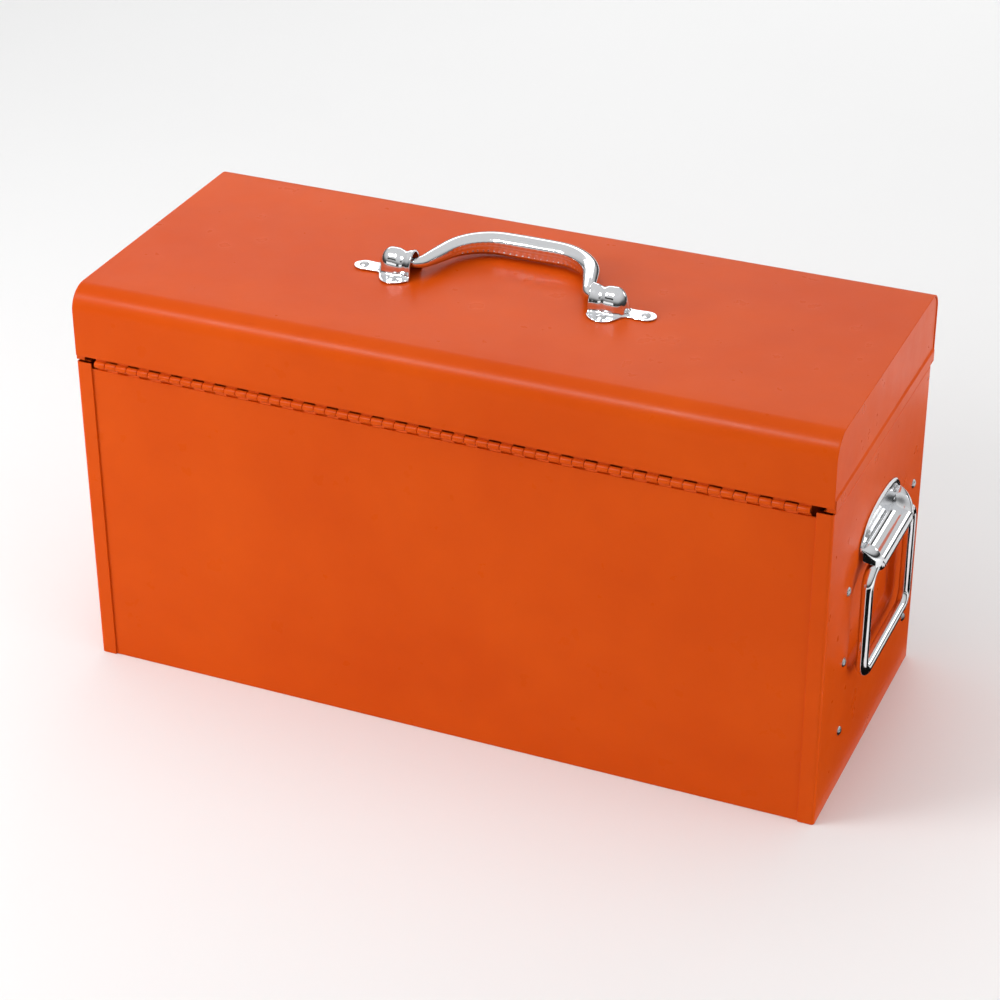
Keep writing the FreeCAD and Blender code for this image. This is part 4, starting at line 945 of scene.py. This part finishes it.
class CHEST_OT_top_handle(bpy.types.Operator):
    """Rolled-sheet grip with its crimped seam, and the two pressed caps that hold it"""

    bl_idname = "chest.top_handle"
    bl_label = "Top handle"

    def execute(self, context):
        self.grip()
        for word, side in SIDES:
            self.cap(word, side)
        return {"FINISHED"}

    @staticmethod
    def grip():
        low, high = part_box("top_handle_grip")
        level = (low.z + high.z) / 2
        middle_radius, end_radius = (high.z - low.z) / 2, 3.3 * MM
        half, drop = 66 * MM, -low.y - middle_radius
        bend, crown, turn = 9 * MM, 34 * MM, math.radians(72)
        run = (drop - (bend + crown) * (1 - math.cos(turn))) / math.sin(turn)
        flat = half - (bend + crown) * math.sin(turn) - run * math.cos(turn)
        right = [Vector((half + high.x - half - t, 0, level)) for t in (0, (high.x - half) * 0.5)]
        right += [Vector((half - bend * math.sin(turn * k / 10), bend * (math.cos(turn * k / 10) - 1), level))
                  for k in range(11)]
        last = right[-1]
        first = Vector((flat + crown * math.sin(turn), crown * (1 - math.cos(turn)) - drop, level))
        right += [last.lerp(first, k / 6) for k in range(1, 6)]
        right += [Vector((flat + crown * math.sin(turn * (1 - k / 16)),
                          crown * (1 - math.cos(turn * (1 - k / 16))) - drop, level)) for k in range(17)]
        centre = [Vector((flat * (1 - k / 5), -drop, level)) for k in range(1, 6)]
        half_path = right + centre
        path = half_path + [Vector((-p.x, p.y, p.z)) for p in reversed(half_path[:-1])]
        dense = []
        for a, b in zip(path, path[1:]):
            parts = max(1, round((b - a).length / (0.7 * MM)))
            dense += [a.lerp(b, k / parts) for k in range(parts)]
        dense.append(path[-1])
        travel = [0.0]
        for a, b in zip(dense, dense[1:]):
            travel.append(travel[-1] + (b - a).length)
        total = travel[-1]
        lead = (high.x - half)

        def section(n):
            share = max(0.0, min(1.0, (travel[n] - lead) / (total - 2 * lead)))
            bulk = math.sin(math.pi * share) ** 0.8
            radius = end_radius + (middle_radius - end_radius) * bulk
            mid = ease((share - 0.10) / 0.12) * ease((0.90 - share) / 0.12)
            crimp = math.sin(travel[n] / (4.4 * MM) * 2 * math.pi) * 0.5 + 0.5
            ring = []
            for k in range(44):
                a = 2 * math.pi * k / 44
                side, up = math.cos(a), math.sin(a)
                angle = math.degrees(math.atan2(-up, side))
                band = ease((angle + 26) / 6) * ease((24 - angle) / 6)
                lip = math.exp(-((angle + 27) / 5) ** 2) + math.exp(-((angle - 25) / 5) ** 2)
                scale = radius * (1 + 0.012 * lip * mid)
                scale -= band * mid * (0.07 * radius + 0.30 * MM * crimp)
                flatten = 1 - 0.10 * ease((0.12 - share) / 0.12) - 0.10 * ease((share - 0.88) / 0.12)
                ring.append((scale * side, scale * up * flatten))
            return ring

        shape = Shape()
        swept(shape, dense, section, Vector((0, 0, 1)))
        piece("top_grip", shape, "top_handle", "chrome", ["top_handle_grip"], sharp=50.0)

    @staticmethod
    def cap(word, side):
        """Three-eared foot and domed hood, pressed from one sheet."""
        low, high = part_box(f"{word}_handle_cap")
        mouth, tip = sorted((abs(low.x), abs(high.x)))
        base, ear = low.z, 6.8 * MM
        side_x, side_y, end_x = 73.5 * MM, 12.6 * MM, 99.3 * MM
        plain, throat, tab_run = 10.6 * MM, 6.2 * MM, 11.3
        dome_x, dome = 78.5 * MM, 9.3 * MM
        sheet = 1.2 * MM
        rise = high.z - base

        def foot(x):
            """Half width of the foot's outline: a tab by each side rivet, a neck and a round end."""
            if x > end_x:
                return math.sqrt(max(0.0, ear ** 2 - (x - end_x) ** 2))
            neck = plain - (plain - throat) * ease((x - dome_x - 0.5 * MM) / (10 * MM))
            neck += (ear - throat) * ease((x - 90 * MM) / (end_x - 90 * MM))
            share = max(-1.0, min(1.0, (x - side_x) / (tab_run * MM)))
            return neck + (side_y + ear - plain) * (1 - share ** 2) ** 0.8

        def hood(x):
            """Half width and height of the hood: rimmed mouth, shallow saddle and a round knob."""
            saddle = math.exp(-((x - 69.5 * MM) / (3.0 * MM)) ** 2)
            rim = math.exp(-((x - mouth) / (1.3 * MM)) ** 2)
            close = math.sqrt(max(0.0, 1 - (max(0.0, x - dome_x) / dome) ** 2))
            wide = (8.7 * MM - 0.8 * MM * saddle + 0.5 * MM * rim) * close
            tall = sheet + (rise - sheet - 0.5 * MM - 1.5 * MM * saddle + 0.5 * MM * rim) * close
            return max(wide, 0.4 * MM), tall

        def across(x):
            wide, tall = hood(x)
            edge = max(foot(x), 0.15 * MM)
            wide = min(wide, edge - 1.3 * MM) if edge > 1.6 * MM else edge * 0.2
            body = max(0.0, tall - sheet)
            lip = min(0.5 * MM, edge * 0.2)
            half = [(edge, sheet * 0.5), (edge - lip * 0.3, sheet * 0.85), (edge - lip, sheet)]
            flare = max(0.0, min(2.4 * MM, (edge - lip - wide) * 0.8))
            half.append((wide + flare + (edge - lip - wide - flare) * 0.5, sheet))
            for k in range(5):
                a = math.pi / 2 * k / 4
                half.append((wide + flare * (1 - math.sin(a)), sheet + min(flare, body * 0.3) * (1 - math.cos(a))))
            foot_top = half[-1][1]
            for k in range(1, 12):
                a = math.pi / 2 * k / 12
                half.append((wide * math.cos(a), foot_top + (sheet + body - foot_top) * math.sin(a)))
            ring = half + [(0.0, sheet + body)] + [(-u, v) for u, v in reversed(half)]
            return ring

        xs = spread(mouth, mouth + 3 * MM, 6) + spread(mouth + 3 * MM, dome_x, 24)[1:]
        xs += [dome_x + dome * math.sin(math.pi / 2 * k / 14) for k in range(1, 15)]
        xs += spread(dome_x + dome, end_x, 10)[1:]
        xs += [end_x + ear * math.sin(math.pi / 2 * k / 12) for k in range(1, 13)]
        shape = Shape()
        shape.grid([[Vector((side * x, u, base + v)) for u, v in across(x)] for x in xs])
        piece(f"{word}_grip_cap", shape, "lid", "chrome", [f"{word}_handle_cap"],
              inside=(side * (mouth + tip) / 2, 0, base - 0.03), wall=1.1 * MM, sharp=55.0)


# ---- side handles --------------------------------------------------------------


class CHEST_OT_side_handles(bpy.types.Operator):
    """Arched plates with their rolled sockets, and the drop handles that hang in them"""

    bl_idname = "chest.side_handles"
    bl_label = "Side handles"

    def execute(self, context):
        for word, side in SIDES:
            self.plate(word, side)
            self.bail(word, side)
        return {"FINISHED"}

    @staticmethod
    def plate(word, side):
        """One pressed sheet: flat arch, hollow scoop, roll over the rod, and a hooded wing at each end."""
        low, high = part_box(f"{word}_side_plate")
        wall_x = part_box(f"{word}_end_panel")[1 if side > 0 else 0].x * side
        half, top = high.y, high.z
        axis_out = (max(abs(low.x), abs(high.x)) - wall_x) - 6 * MM
        axis_z, roll, skin = low.z + 5 * MM + 0.0, 6.0 * MM, 1.5 * MM
        axis_z = 155 * MM if abs(axis_z - 155 * MM) < 2 * MM else axis_z
        shoulder = axis_z + 13 * MM

        def arch(y):
            """Height of the plate's rounded top edge."""
            share = min(1.0, abs(y) / half)
            return shoulder + (top - shoulder) * math.sqrt(max(0.0, 1 - share ** 2.3))

        def rolled(t):
            """Outward distance and height along the middle of the plate below its flat part."""
            if t < 0.35:
                a = math.pi / 2 * (t / 0.35)
                reach = axis_out - skin
                return skin + reach * (1 - math.cos(a)), shoulder - 0.5 * MM - (shoulder - 0.5 * MM - axis_z - roll) * math.sin(a)
            a = math.radians(90 - 215 * (t - 0.35) / 0.65)
            return axis_out + roll * math.cos(a), axis_z + roll * math.sin(a)

        def winged(t, y):
            """The same for the hooded wing: it bellies out and ends in a free lower edge over the rod."""
            share = max(0.0, min(1.0, (y - 33 * MM) / (half - 33 * MM)))
            a = math.pi / 2 * t
            crest = shoulder + 2.0 * MM
            free = axis_z - 0.5 * MM + 7.0 * MM * share ** 2
            belly = (axis_out + 5.6 * MM - skin) * math.sqrt(1 - share ** 2 * 0.985)
            return skin + belly * math.sin(a) ** 0.85, crest - (crest - free) * (1 - math.cos(a))

        columns = []
        for y in spread(0, 30 * MM, 24) + spread(30 * MM, half, 34)[1:]:
            wing = ease((y - 30.5 * MM) / (4.5 * MM))
            edge = arch(y)
            column = []
            for k in range(9):
                t = k / 9
                column.append((skin, max(edge, shoulder) * (1 - t) + shoulder * t))
            column[0] = (skin * 0.55, column[0][1])
            for k in range(33):
                t = k / 32
                r, w = rolled(t), winged(t, y)
                column.append((r[0] * (1 - wing) + w[0] * wing, r[1] * (1 - wing) + w[1] * wing))
            columns.append((y, column))
        rows = [(-y, c) for y, c in reversed(columns[1:])] + columns
        shape = Shape()
        shape.grid([[Vector((side * (wall_x + out), y, z)) for out, z in c] for y, c in rows])
        piece(f"{word}_socket_plate", shape, "case", "chrome", [f"{word}_side_plate"],
              inside=(side * (wall_x - 0.02), 0, axis_z - 0.03), wall=1.0 * MM, edge=0.25 * MM, sharp=60.0)

    @staticmethod
    def bail(word, side):
        s = sizes()
        low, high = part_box(f"{word}_side_bail")
        r = s.bail_rod
        x = (low.x + high.x) / 2
        corners = [Vector((x, low.y + r, high.z - r)), Vector((x, high.y - r, high.z - r)),
                   Vector((x, high.y - r, low.z + r)), Vector((x, low.y + r, low.z + r))]
        shape = Shape()
        ring = circle(r, 24)
        swept(shape, rod_loop(corners, 10 * MM, 12, 8), lambda n: ring, Vector((1, 0, 0)), closed=True)
        piece(f"{word}_drop_handle", shape, f"{word}_bail", "chrome", [f"{word}_side_bail"], sharp=60.0)


# ---- rivets --------------------------------------------------------------------


def rivet_head(shape, place, outward):
    """A set rivet: low dome with a small flat struck on top and a crisp rim."""
    s = sizes()
    r, h = s.rivet_head, s.rivet_rise
    profile = [(0, h), (r * 0.22, h), (r * 0.34, h * 0.97), (r * 0.52, h * 0.88), (r * 0.70, h * 0.70),
               (r * 0.85, h * 0.45), (r * 0.95, h * 0.20), (r, h * 0.06), (r * 0.985, 0), (r * 0.5, -0.2 * MM),
               (0, -0.2 * MM)]
    turned(shape, profile, place, outward, 28)


class CHEST_OT_rivets(bpy.types.Operator):
    """Every visible rivet head on the ends, the handle caps, the tray and the latches"""

    bl_idname = "chest.rivets"
    bl_label = "Rivets"

    def execute(self, context):
        s = sizes()
        r = s.rivet_head
        for word, side in SIDES:
            low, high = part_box(f"{word}_runner_rivets")
            face = (high.x if side > 0 else -low.x) - s.rivet_rise
            shape = Shape()
            for y in (low.y + r, high.y - r):
                for z in (low.z + r, (low.z + high.z) / 2, high.z - r):
                    rivet_head(shape, (side * face, y, z), (side, 0, 0))
            piece(f"{word}_end_rivets", shape, "case", "zinc_steel", [f"{word}_runner_rivets"])
            low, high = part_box(f"{word}_handle_rivets")
            face = (high.x if side > 0 else -low.x) - s.rivet_rise
            shape = Shape()
            for y in (low.y + r, high.y - r):
                rivet_head(shape, (side * face, y, (low.z + high.z) / 2), (side, 0, 0))
            piece(f"{word}_plate_rivets", shape, "case", "zinc_steel", [f"{word}_handle_rivets"])
            low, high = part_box(f"{word}_cap_rivets")
            face = high.z - s.rivet_rise
            near, far = sorted((abs(low.x), abs(high.x)))
            shape = Shape()
            rivet_head(shape, (side * (far - r), 0, face), (0, 0, 1))
            for y in (low.y + r, high.y - r):
                rivet_head(shape, (side * (near + r), y, face), (0, 0, 1))
            piece(f"{word}_grip_cap_rivets", shape, "lid", "zinc_steel", [f"{word}_cap_rivets"])
        low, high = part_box("tray_handle_rivets")
        shape = Shape()
        for x in (low.x + r, high.x - r):
            rivet_head(shape, (x, 0, high.z - s.rivet_rise), (0, 0, 1))
        piece("strap_rivets", shape, "tray", "zinc_steel", ["tray_handle_rivets"])
        low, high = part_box("latch_rivets")
        shape = Shape()
        for word, side in SIDES:
            b_low, b_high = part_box(f"{word}_latch_base")
            middle, quarter = (b_low.x + b_high.x) / 2, (b_high.x - b_low.x) / 4
            for n in (-1, 1):
                rivet_head(shape, (middle + n * quarter, low.y + s.rivet_rise, (low.z + high.z) / 2), (0, -1, 0))
        piece("latch_base_rivets", shape, "case", "zinc_steel", ["latch_rivets"])
        return {"FINISHED"}


# ---- drawers -------------------------------------------------------------------


class CHEST_OT_drawers(bpy.types.Operator):
    """Three drawers: drawn pans, boxed fronts, pull strips and their moving runners"""

    bl_idname = "chest.drawers"
    bl_label = "Drawers"

    def execute(self, context):
        for level in DRAWERS:
            self.pan(level)
            self.front(level)
            self.pull(level)
            self.slides(level)
        return {"FINISHED"}

    @staticmethod
    def pan(level):
        low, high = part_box(f"{level}_drawer_pan")
        half_x, half_y, mid_y = high.x, (high.y - low.y) / 2, (high.y + low.y) / 2
        z0, z1, w = low.z, high.z, 1.0 * MM
        profile = [(4 * MM, z0), (1.2 * MM, z0 + 0.4 * MM), (0.4 * MM, z0 + 1.2 * MM), (0, z0 + 3 * MM),
                   (0, z1 - 1.2 * MM), (0.15 * MM, z1 - 0.5 * MM), (0.7 * MM, z1), (1.6 * MM, z1 - 0.1 * MM),
                   (2.0 * MM, z1 - 0.8 * MM), (1.8 * MM, z1 - 1.6 * MM), (w, z1 - 2.0 * MM), (w, z0 + 4 * MM),
                   (1.6 * MM, z0 + 2 * MM), (2.6 * MM, z0 + 1.2 * MM), (5 * MM, z0 + 1 * MM)]
        shape = Shape()
        drawn(shape, profile, half_x, half_y, 3 * MM, lambda u, v, c: Vector((u, v + mid_y, c)))
        piece(f"{level}_pan", shape, f"{level}_drawer", "orange_paint", [f"{level}_drawer_pan"])

    @staticmethod
    def front(level):
        low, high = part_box(f"{level}_drawer_front")
        half_x, half_z, mid_z = high.x, (high.z - low.z) / 2, (high.z + low.z) / 2
        y0, y1, w = low.y, high.y, sizes().wall
        profile = [(16 * MM, y0), (9 * MM, y0), (7.6 * MM, y0 + 0.1 * MM), (6.6 * MM, y0 + 0.45 * MM),
                   (5.4 * MM, y0 + 0.5 * MM), (4.4 * MM, y0 + 0.1 * MM), (3.4 * MM, y0), (1.8 * MM, y0),
                   (0.6 * MM, y0 + 0.25 * MM), (0.1 * MM, y0 + 0.9 * MM), (0, y0 + 2 * MM), (0, y1 - 0.2 * MM),
                   (0.2 * MM, y1), (w - 0.2 * MM, y1), (w, y1 - 0.2 * MM), (w, y0 + w + 1.2 * MM),
                   (w + 1.2 * MM, y0 + w), (9 * MM, y0 + w)]
        shape = Shape()
        drawn(shape, profile, half_x, half_z, 1.6 * MM, lambda u, v, c: Vector((u, c, v + mid_z)))
        piece(f"{level}_front", shape, f"{level}_drawer", "orange_paint", [f"{level}_drawer_front"])

    @staticmethod
    def pull(level):
        """Bright pull strip: a rolled lip along the top of the front."""
        low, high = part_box(f"{level}_drawer_pull")
        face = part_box(f"{level}_drawer_front")[0].y
        top, w = high.z, sizes().wall
        line = folded([(face - w * 0.2, low.z), (face - w * 0.2, top), (low.y, top), (low.y, top - 7 * MM)],
                      [1.2 * MM, 2.6 * MM], steps=6)
        shape = Shape()
        bent_sheet(shape, line, w * 0.8, lambda u, v, w_: Vector((w_, u, v)), spread(low.x, high.x, 20))
        piece(f"{level}_pull_strip", shape, f"{level}_drawer", "chrome", [f"{level}_drawer_pull"], edge=0.25 * MM)

    @staticmethod
    def slides(level):
        """Moving members on both sides of the pan."""
        low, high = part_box(f"{level}_drawer_slides")
        w = sizes().wall
        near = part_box(f"{level}_drawer_pan")[1].x
        shape = Shape()
        for side in (-1, 1):
            line = folded([(high.x, low.z), (near, low.z), (near, high.z), (high.x, high.z)], [1.4 * MM] * 2)
            bent_sheet(shape, line, -w, lambda u, v, t: Vector((side * u, t, v)), spread(low.y, high.y, 10))
        piece(f"{level}_slide_channels", shape, f"{level}_drawer", "zinc_steel",
              [f"{level}_drawer_slides"], edge=0.2 * MM)


# ---- tray ----------------------------------------------------------------------


class CHEST_OT_tray(bpy.types.Operator):
    """Lift-out tray with a rolled rim, two dividers and a strap handle"""

    bl_idname = "chest.tray"
    bl_label = "Tray"

    def execute(self, context):
        self.pan()
        self.dividers()
        self.strap()
        return {"FINISHED"}

    @staticmethod
    def pan():
        low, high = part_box("tray_pan")
        z0, z1 = low.z, high.z
        profile = [(6 * MM, z0), (2.2 * MM, z0 + 0.3 * MM), (0.9 * MM, z0 + 1.3 * MM), (0.5 * MM, z0 + 3.5 * MM),
                   (0.5 * MM, z1 - 3.4 * MM), (0.1 * MM, z1 - 2.6 * MM), (0, z1 - 1.5 * MM),
                   (0.35 * MM, z1 - 0.5 * MM), (1.1 * MM, z1), (2.0 * MM, z1 - 0.3 * MM), (2.6 * MM, z1 - 1.2 * MM),
                   (2.4 * MM, z1 - 2.2 * MM), (1.6 * MM, z1 - 2.9 * MM), (1.6 * MM, z0 + 4.5 * MM),
                   (2.2 * MM, z0 + 2.3 * MM), (3.6 * MM, z0 + 1.2 * MM), (7 * MM, z0 + 1 * MM)]
        shape = Shape()
        drawn(shape, profile, high.x, high.y, 8 * MM, lambda u, v, c: Vector((u, v, c)), steps=8)
        piece("tray_shell", shape, "tray", "orange_paint", ["tray_pan"])

    @staticmethod
    def dividers():
        """Folded cross walls with a hemmed top and feet welded to the floor."""
        low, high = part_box("tray_dividers")
        w = 0.9 * MM
        shape = Shape()
        for side in (-1, 1):
            foot = high.x - 9 * MM
            line = folded([(foot, low.z), (high.x - w, low.z), (high.x - w, high.z), (high.x - 2.4 * MM, high.z),
                           (high.x - 2.4 * MM, high.z - 5 * MM)], [1 * MM, 0.7 * MM, 0.7 * MM], steps=4)
            bent_sheet(shape, line, w, lambda u, v, t: Vector((side * u, t, v)), spread(low.y, high.y, 8))
        piece("tray_cross_walls", shape, "tray", "orange_paint", ["tray_dividers"], edge=0.2 * MM)

    @staticmethod
    def strap():
        """Bent strap with a crowned top for the hand."""
        low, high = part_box("tray_handle")
        foot, half = high.x, high.x - 16 * MM
        line = folded([(-foot, low.z), (-half + 2 * MM, low.z), (-half + 2 * MM, high.z - 2 * MM),
                       (half - 2 * MM, high.z - 2 * MM), (half - 2 * MM, low.z), (foot, low.z)],
                      [2.5 * MM, 8 * MM, 8 * MM, 2.5 * MM], steps=8)
        line = [(u, v + 2.0 * MM * 0) for u, v in line]
        shape = Shape()
        widths = spread(low.y, high.y, 6)

        def crowned(u, v, w):
            return Vector((u, w, v - 0.7 * MM * (w / high.y) ** 2 * ease((v - low.z) / (20 * MM))))

        bent_sheet(shape, line, 2 * MM, crowned, widths)
        piece("tray_strap", shape, "tray", "zinc_steel", ["tray_handle"], edge=0.5 * MM, rounds=3)


# ---- latches -------------------------------------------------------------------


class CHEST_OT_latches(bpy.types.Operator):
    """Two draw latches: base, lever, wire loop and keeper"""

    bl_idname = "chest.latches"
    bl_label = "Latches"

    def execute(self, context):
        for word, side in SIDES:
            self.base(word)
            self.lever(word)
            self.loop(word)
            self.keeper(word)
        return {"FINISHED"}

    @staticmethod
    def base(word):
        """Plate with two upright ears and the pivot pin."""
        low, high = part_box(f"{word}_latch_base")
        middle, half, w = (low.x + high.x) / 2, (high.x - low.x) / 2, sizes().wall
        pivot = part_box(f"{word}_latch_lever")
        pin_z = low.z + 22 * MM
        pin_y = high.y - 10 * MM
        del pivot
        shape = Shape()
        ring = rounded_ring(half, (high.z - low.z) / 2, 2.5 * MM, 5)
        mid_z = (low.z + high.z) / 2
        rows = [[Vector((middle + u * k, y, mid_z + v * k)) for u, v in ring]
                for k, y in ((1.0, high.y), (1.0, high.y - w * 0.7), (0.985, high.y - w))]
        shape.tube(rows)
        for n in (-1, 1):
            edge = middle + n * (half - w / 2)
            outline = folded([(high.y - w * 0.5, pin_z - 6 * MM), (low.y, pin_z - 6 * MM),
                              (low.y, pin_z + 6 * MM), (high.y - w * 0.5, pin_z + 6 * MM)],
                             [4 * MM, 4 * MM], steps=6)
            rows = [[Vector((edge + x, y, z)) for y, z in outline] for x in (-w / 2, w / 2)]
            shape.tube(rows)
        turned(shape, [(0, 0), (1.9 * MM, 0), (2.1 * MM, 0.3 * MM), (2.1 * MM, 0.8 * MM), (1.5 * MM, 0.9 * MM),
                       (1.5 * MM, 2 * half - 0.9 * MM), (2.1 * MM, 2 * half - 0.8 * MM),
                       (2.1 * MM, 2 * half - 0.3 * MM), (1.9 * MM, 2 * half), (0, 2 * half)],
               (middle - half, pin_y, pin_z), (1, 0, 0), 20)
        piece(f"{word}_latch_plate", shape, "case", "zinc_steel", [f"{word}_latch_base"], edge=0.2 * MM)

    @staticmethod
    def lever(word):
        """Pressed lever with turned-back cheeks, a raised panel and a finger lip."""
        low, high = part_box(f"{word}_latch_lever")
        base_low, base_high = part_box(f"{word}_latch_base")
        middle, half, w = (low.x + high.x) / 2, (high.x - low.x) / 2, sizes().wall
        pin_z, pin_y = base_low.z + 22 * MM, base_high.y - 10 * MM
        front = pin_y - 4 * MM
        shape = Shape()
        rows = []
        for z in spread(low.z, pin_z, 20):
            share = (pin_z - z) / (pin_z - low.z)
            flare = 3.0 * MM * ease((share - 0.86) / 0.14)
            row = []
            for u in spread(-1, 1, 16):
                raised = 0.5 * MM * ease((0.72 - abs(u)) / 0.16) * ease((share - 0.12) / 0.1) * ease((0.82 - share) / 0.08)
                width = half - 0.2 * MM - 2.4 * MM * ease((share - 0.80) / 0.2)
                row.append(Vector((middle + u * width, front - flare - raised * 0.0 + raised, z)))
            rows.append(row)
        thick = [[p + Vector((0, w, 0)) for p in row] for row in rows]
        shape.grid(rows)
        shape.grid(thick)
        rim_a = rows[0] + [r[-1] for r in rows[1:]] + rows[-1][::-1][1:] + [r[0] for r in rows[::-1][1:]]
        rim_b = [p + Vector((0, w, 0)) for p in rim_a]
        shape.grid([rim_a, rim_b], around=False)
        for n in (-1, 1):
            x = middle + n * (half - w / 2)
            outline = folded([(front + 0.2 * MM, pin_z - 12 * MM), (pin_y + 1.0 * MM, pin_z - 9 * MM),
                              (pin_y + 3 * MM, pin_z), (pin_y + 1 * MM, pin_z + 3 * MM),
                              (front + 0.2 * MM, pin_z + 3 * MM)], [3 * MM, 3 * MM, 2 * MM], steps=4)
            shape.tube([[Vector((x + t, y, z)) for y, z in outline] for t in (-w / 2, w / 2)])
        loop_low, loop_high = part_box(f"{word}_latch_loop")
        loop_y, loop_z = (loop_low.y + loop_high.y) / 2, loop_high.z - sizes().loop_wire
        turned(shape, [(1.35 * MM, 0), (2.2 * MM, 0), (2.4 * MM, 0.2 * MM), (2.4 * MM, 10.8 * MM),
                       (2.2 * MM, 11 * MM), (1.35 * MM, 11 * MM)],
               (middle - 5.5 * MM, loop_y, loop_z), (1, 0, 0), 20)
        piece(f"{word}_lever", shape, f"{word}_lever", "zinc_steel", [f"{word}_latch_lever"], edge=0.2 * MM)

    @staticmethod
    def loop(word):
        r = sizes().loop_wire
        low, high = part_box(f"{word}_latch_loop")
        y = (low.y + high.y) / 2
        corners = [Vector((low.x + r, y, high.z - r)), Vector((high.x - r, y, high.z - r)),
                   Vector((high.x - r, y, low.z + r)), Vector((low.x + r, y, low.z + r))]
        ring = circle(r, 16)
        shape = Shape()
        swept(shape, rod_loop(corners, 2.5 * MM, 8, 5), lambda n: ring, Vector((0, 1, 0)), closed=True)
        piece(f"{word}_wire_loop", shape, f"{word}_loop", "zinc_steel", [f"{word}_latch_loop"], sharp=60.0)

    @staticmethod
    def keeper(word):
        """Hooked plate on the lid's front."""
        low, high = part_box(f"{word}_latch_keeper")
        w = sizes().wall
        middle, half = (low.x + high.x) / 2, (high.x - low.x) / 2
        shape = Shape()
        ring = rounded_ring(half, (high.z - low.z) / 2, 2 * MM, 4)
        mid_z = (low.z + high.z) / 2
        back = high.y
        shape.tube([[Vector((middle + u * k, y, mid_z + v * k)) for u, v in ring]
                    for k, y in ((1.0, back), (1.0, back - w * 0.7), (0.98, back - w))])
        line = folded([(back - w * 0.4, low.z + 0.1 * MM), (low.y, low.z + 0.1 * MM), (low.y, low.z + 3.4 * MM)],
                      [1.8 * MM], steps=5)
        bent_sheet(shape, line, -w, lambda u, v, t: Vector((middle + t, u, v)), spread(-half * 0.6, half * 0.6, 6))
        piece(f"{word}_keeper_hook", shape, "lid", "zinc_steel", [f"{word}_latch_keeper"], edge=0.2 * MM)


# ---- add-on --------------------------------------------------------------------

OPERATORS = (
    CHEST_OT_finishes, CHEST_OT_stage, CHEST_OT_end_panels, CHEST_OT_case_walls, CHEST_OT_piano_hinge,
    CHEST_OT_lid, CHEST_OT_top_handle, CHEST_OT_side_handles, CHEST_OT_rivets, CHEST_OT_drawers,
    CHEST_OT_tray, CHEST_OT_latches,
)


class CHEST_PT_panel(bpy.types.Panel):
    """Lists the chest's sizes, colours and pieces"""

    bl_idname = "CHEST_PT_panel"
    bl_label = "Tool chest"
    bl_space_type = "VIEW_3D"
    bl_region_type = "UI"
    bl_category = "Tool chest"

    def draw(self, context):
        for group in (context.scene.chest_sizes, context.scene.chest_colours):
            box = self.layout.box()
            for key in group.bl_rna.properties.keys():
                if key not in ("rna_type", "name"):
                    box.prop(group, key)
        for operator in OPERATORS:
            self.layout.operator(operator.bl_idname)


CLASSES = (ChestSizes, ChestColours, *OPERATORS, CHEST_PT_panel)


def register():
    for cls in CLASSES:
        bpy.utils.register_class(cls)
    bpy.types.Scene.chest_sizes = bpy.props.PointerProperty(type=ChestSizes)
    bpy.types.Scene.chest_colours = bpy.props.PointerProperty(type=ChestColours)


def unregister():
    del bpy.types.Scene.chest_colours
    del bpy.types.Scene.chest_sizes
    for cls in reversed(CLASSES):
        bpy.utils.unregister_class(cls)


def main():
    register()
    for operator in OPERATORS:
        group, name = operator.bl_idname.split(".")
        getattr(getattr(bpy.ops, group), name)()


if __name__ == "__main__":
    main()
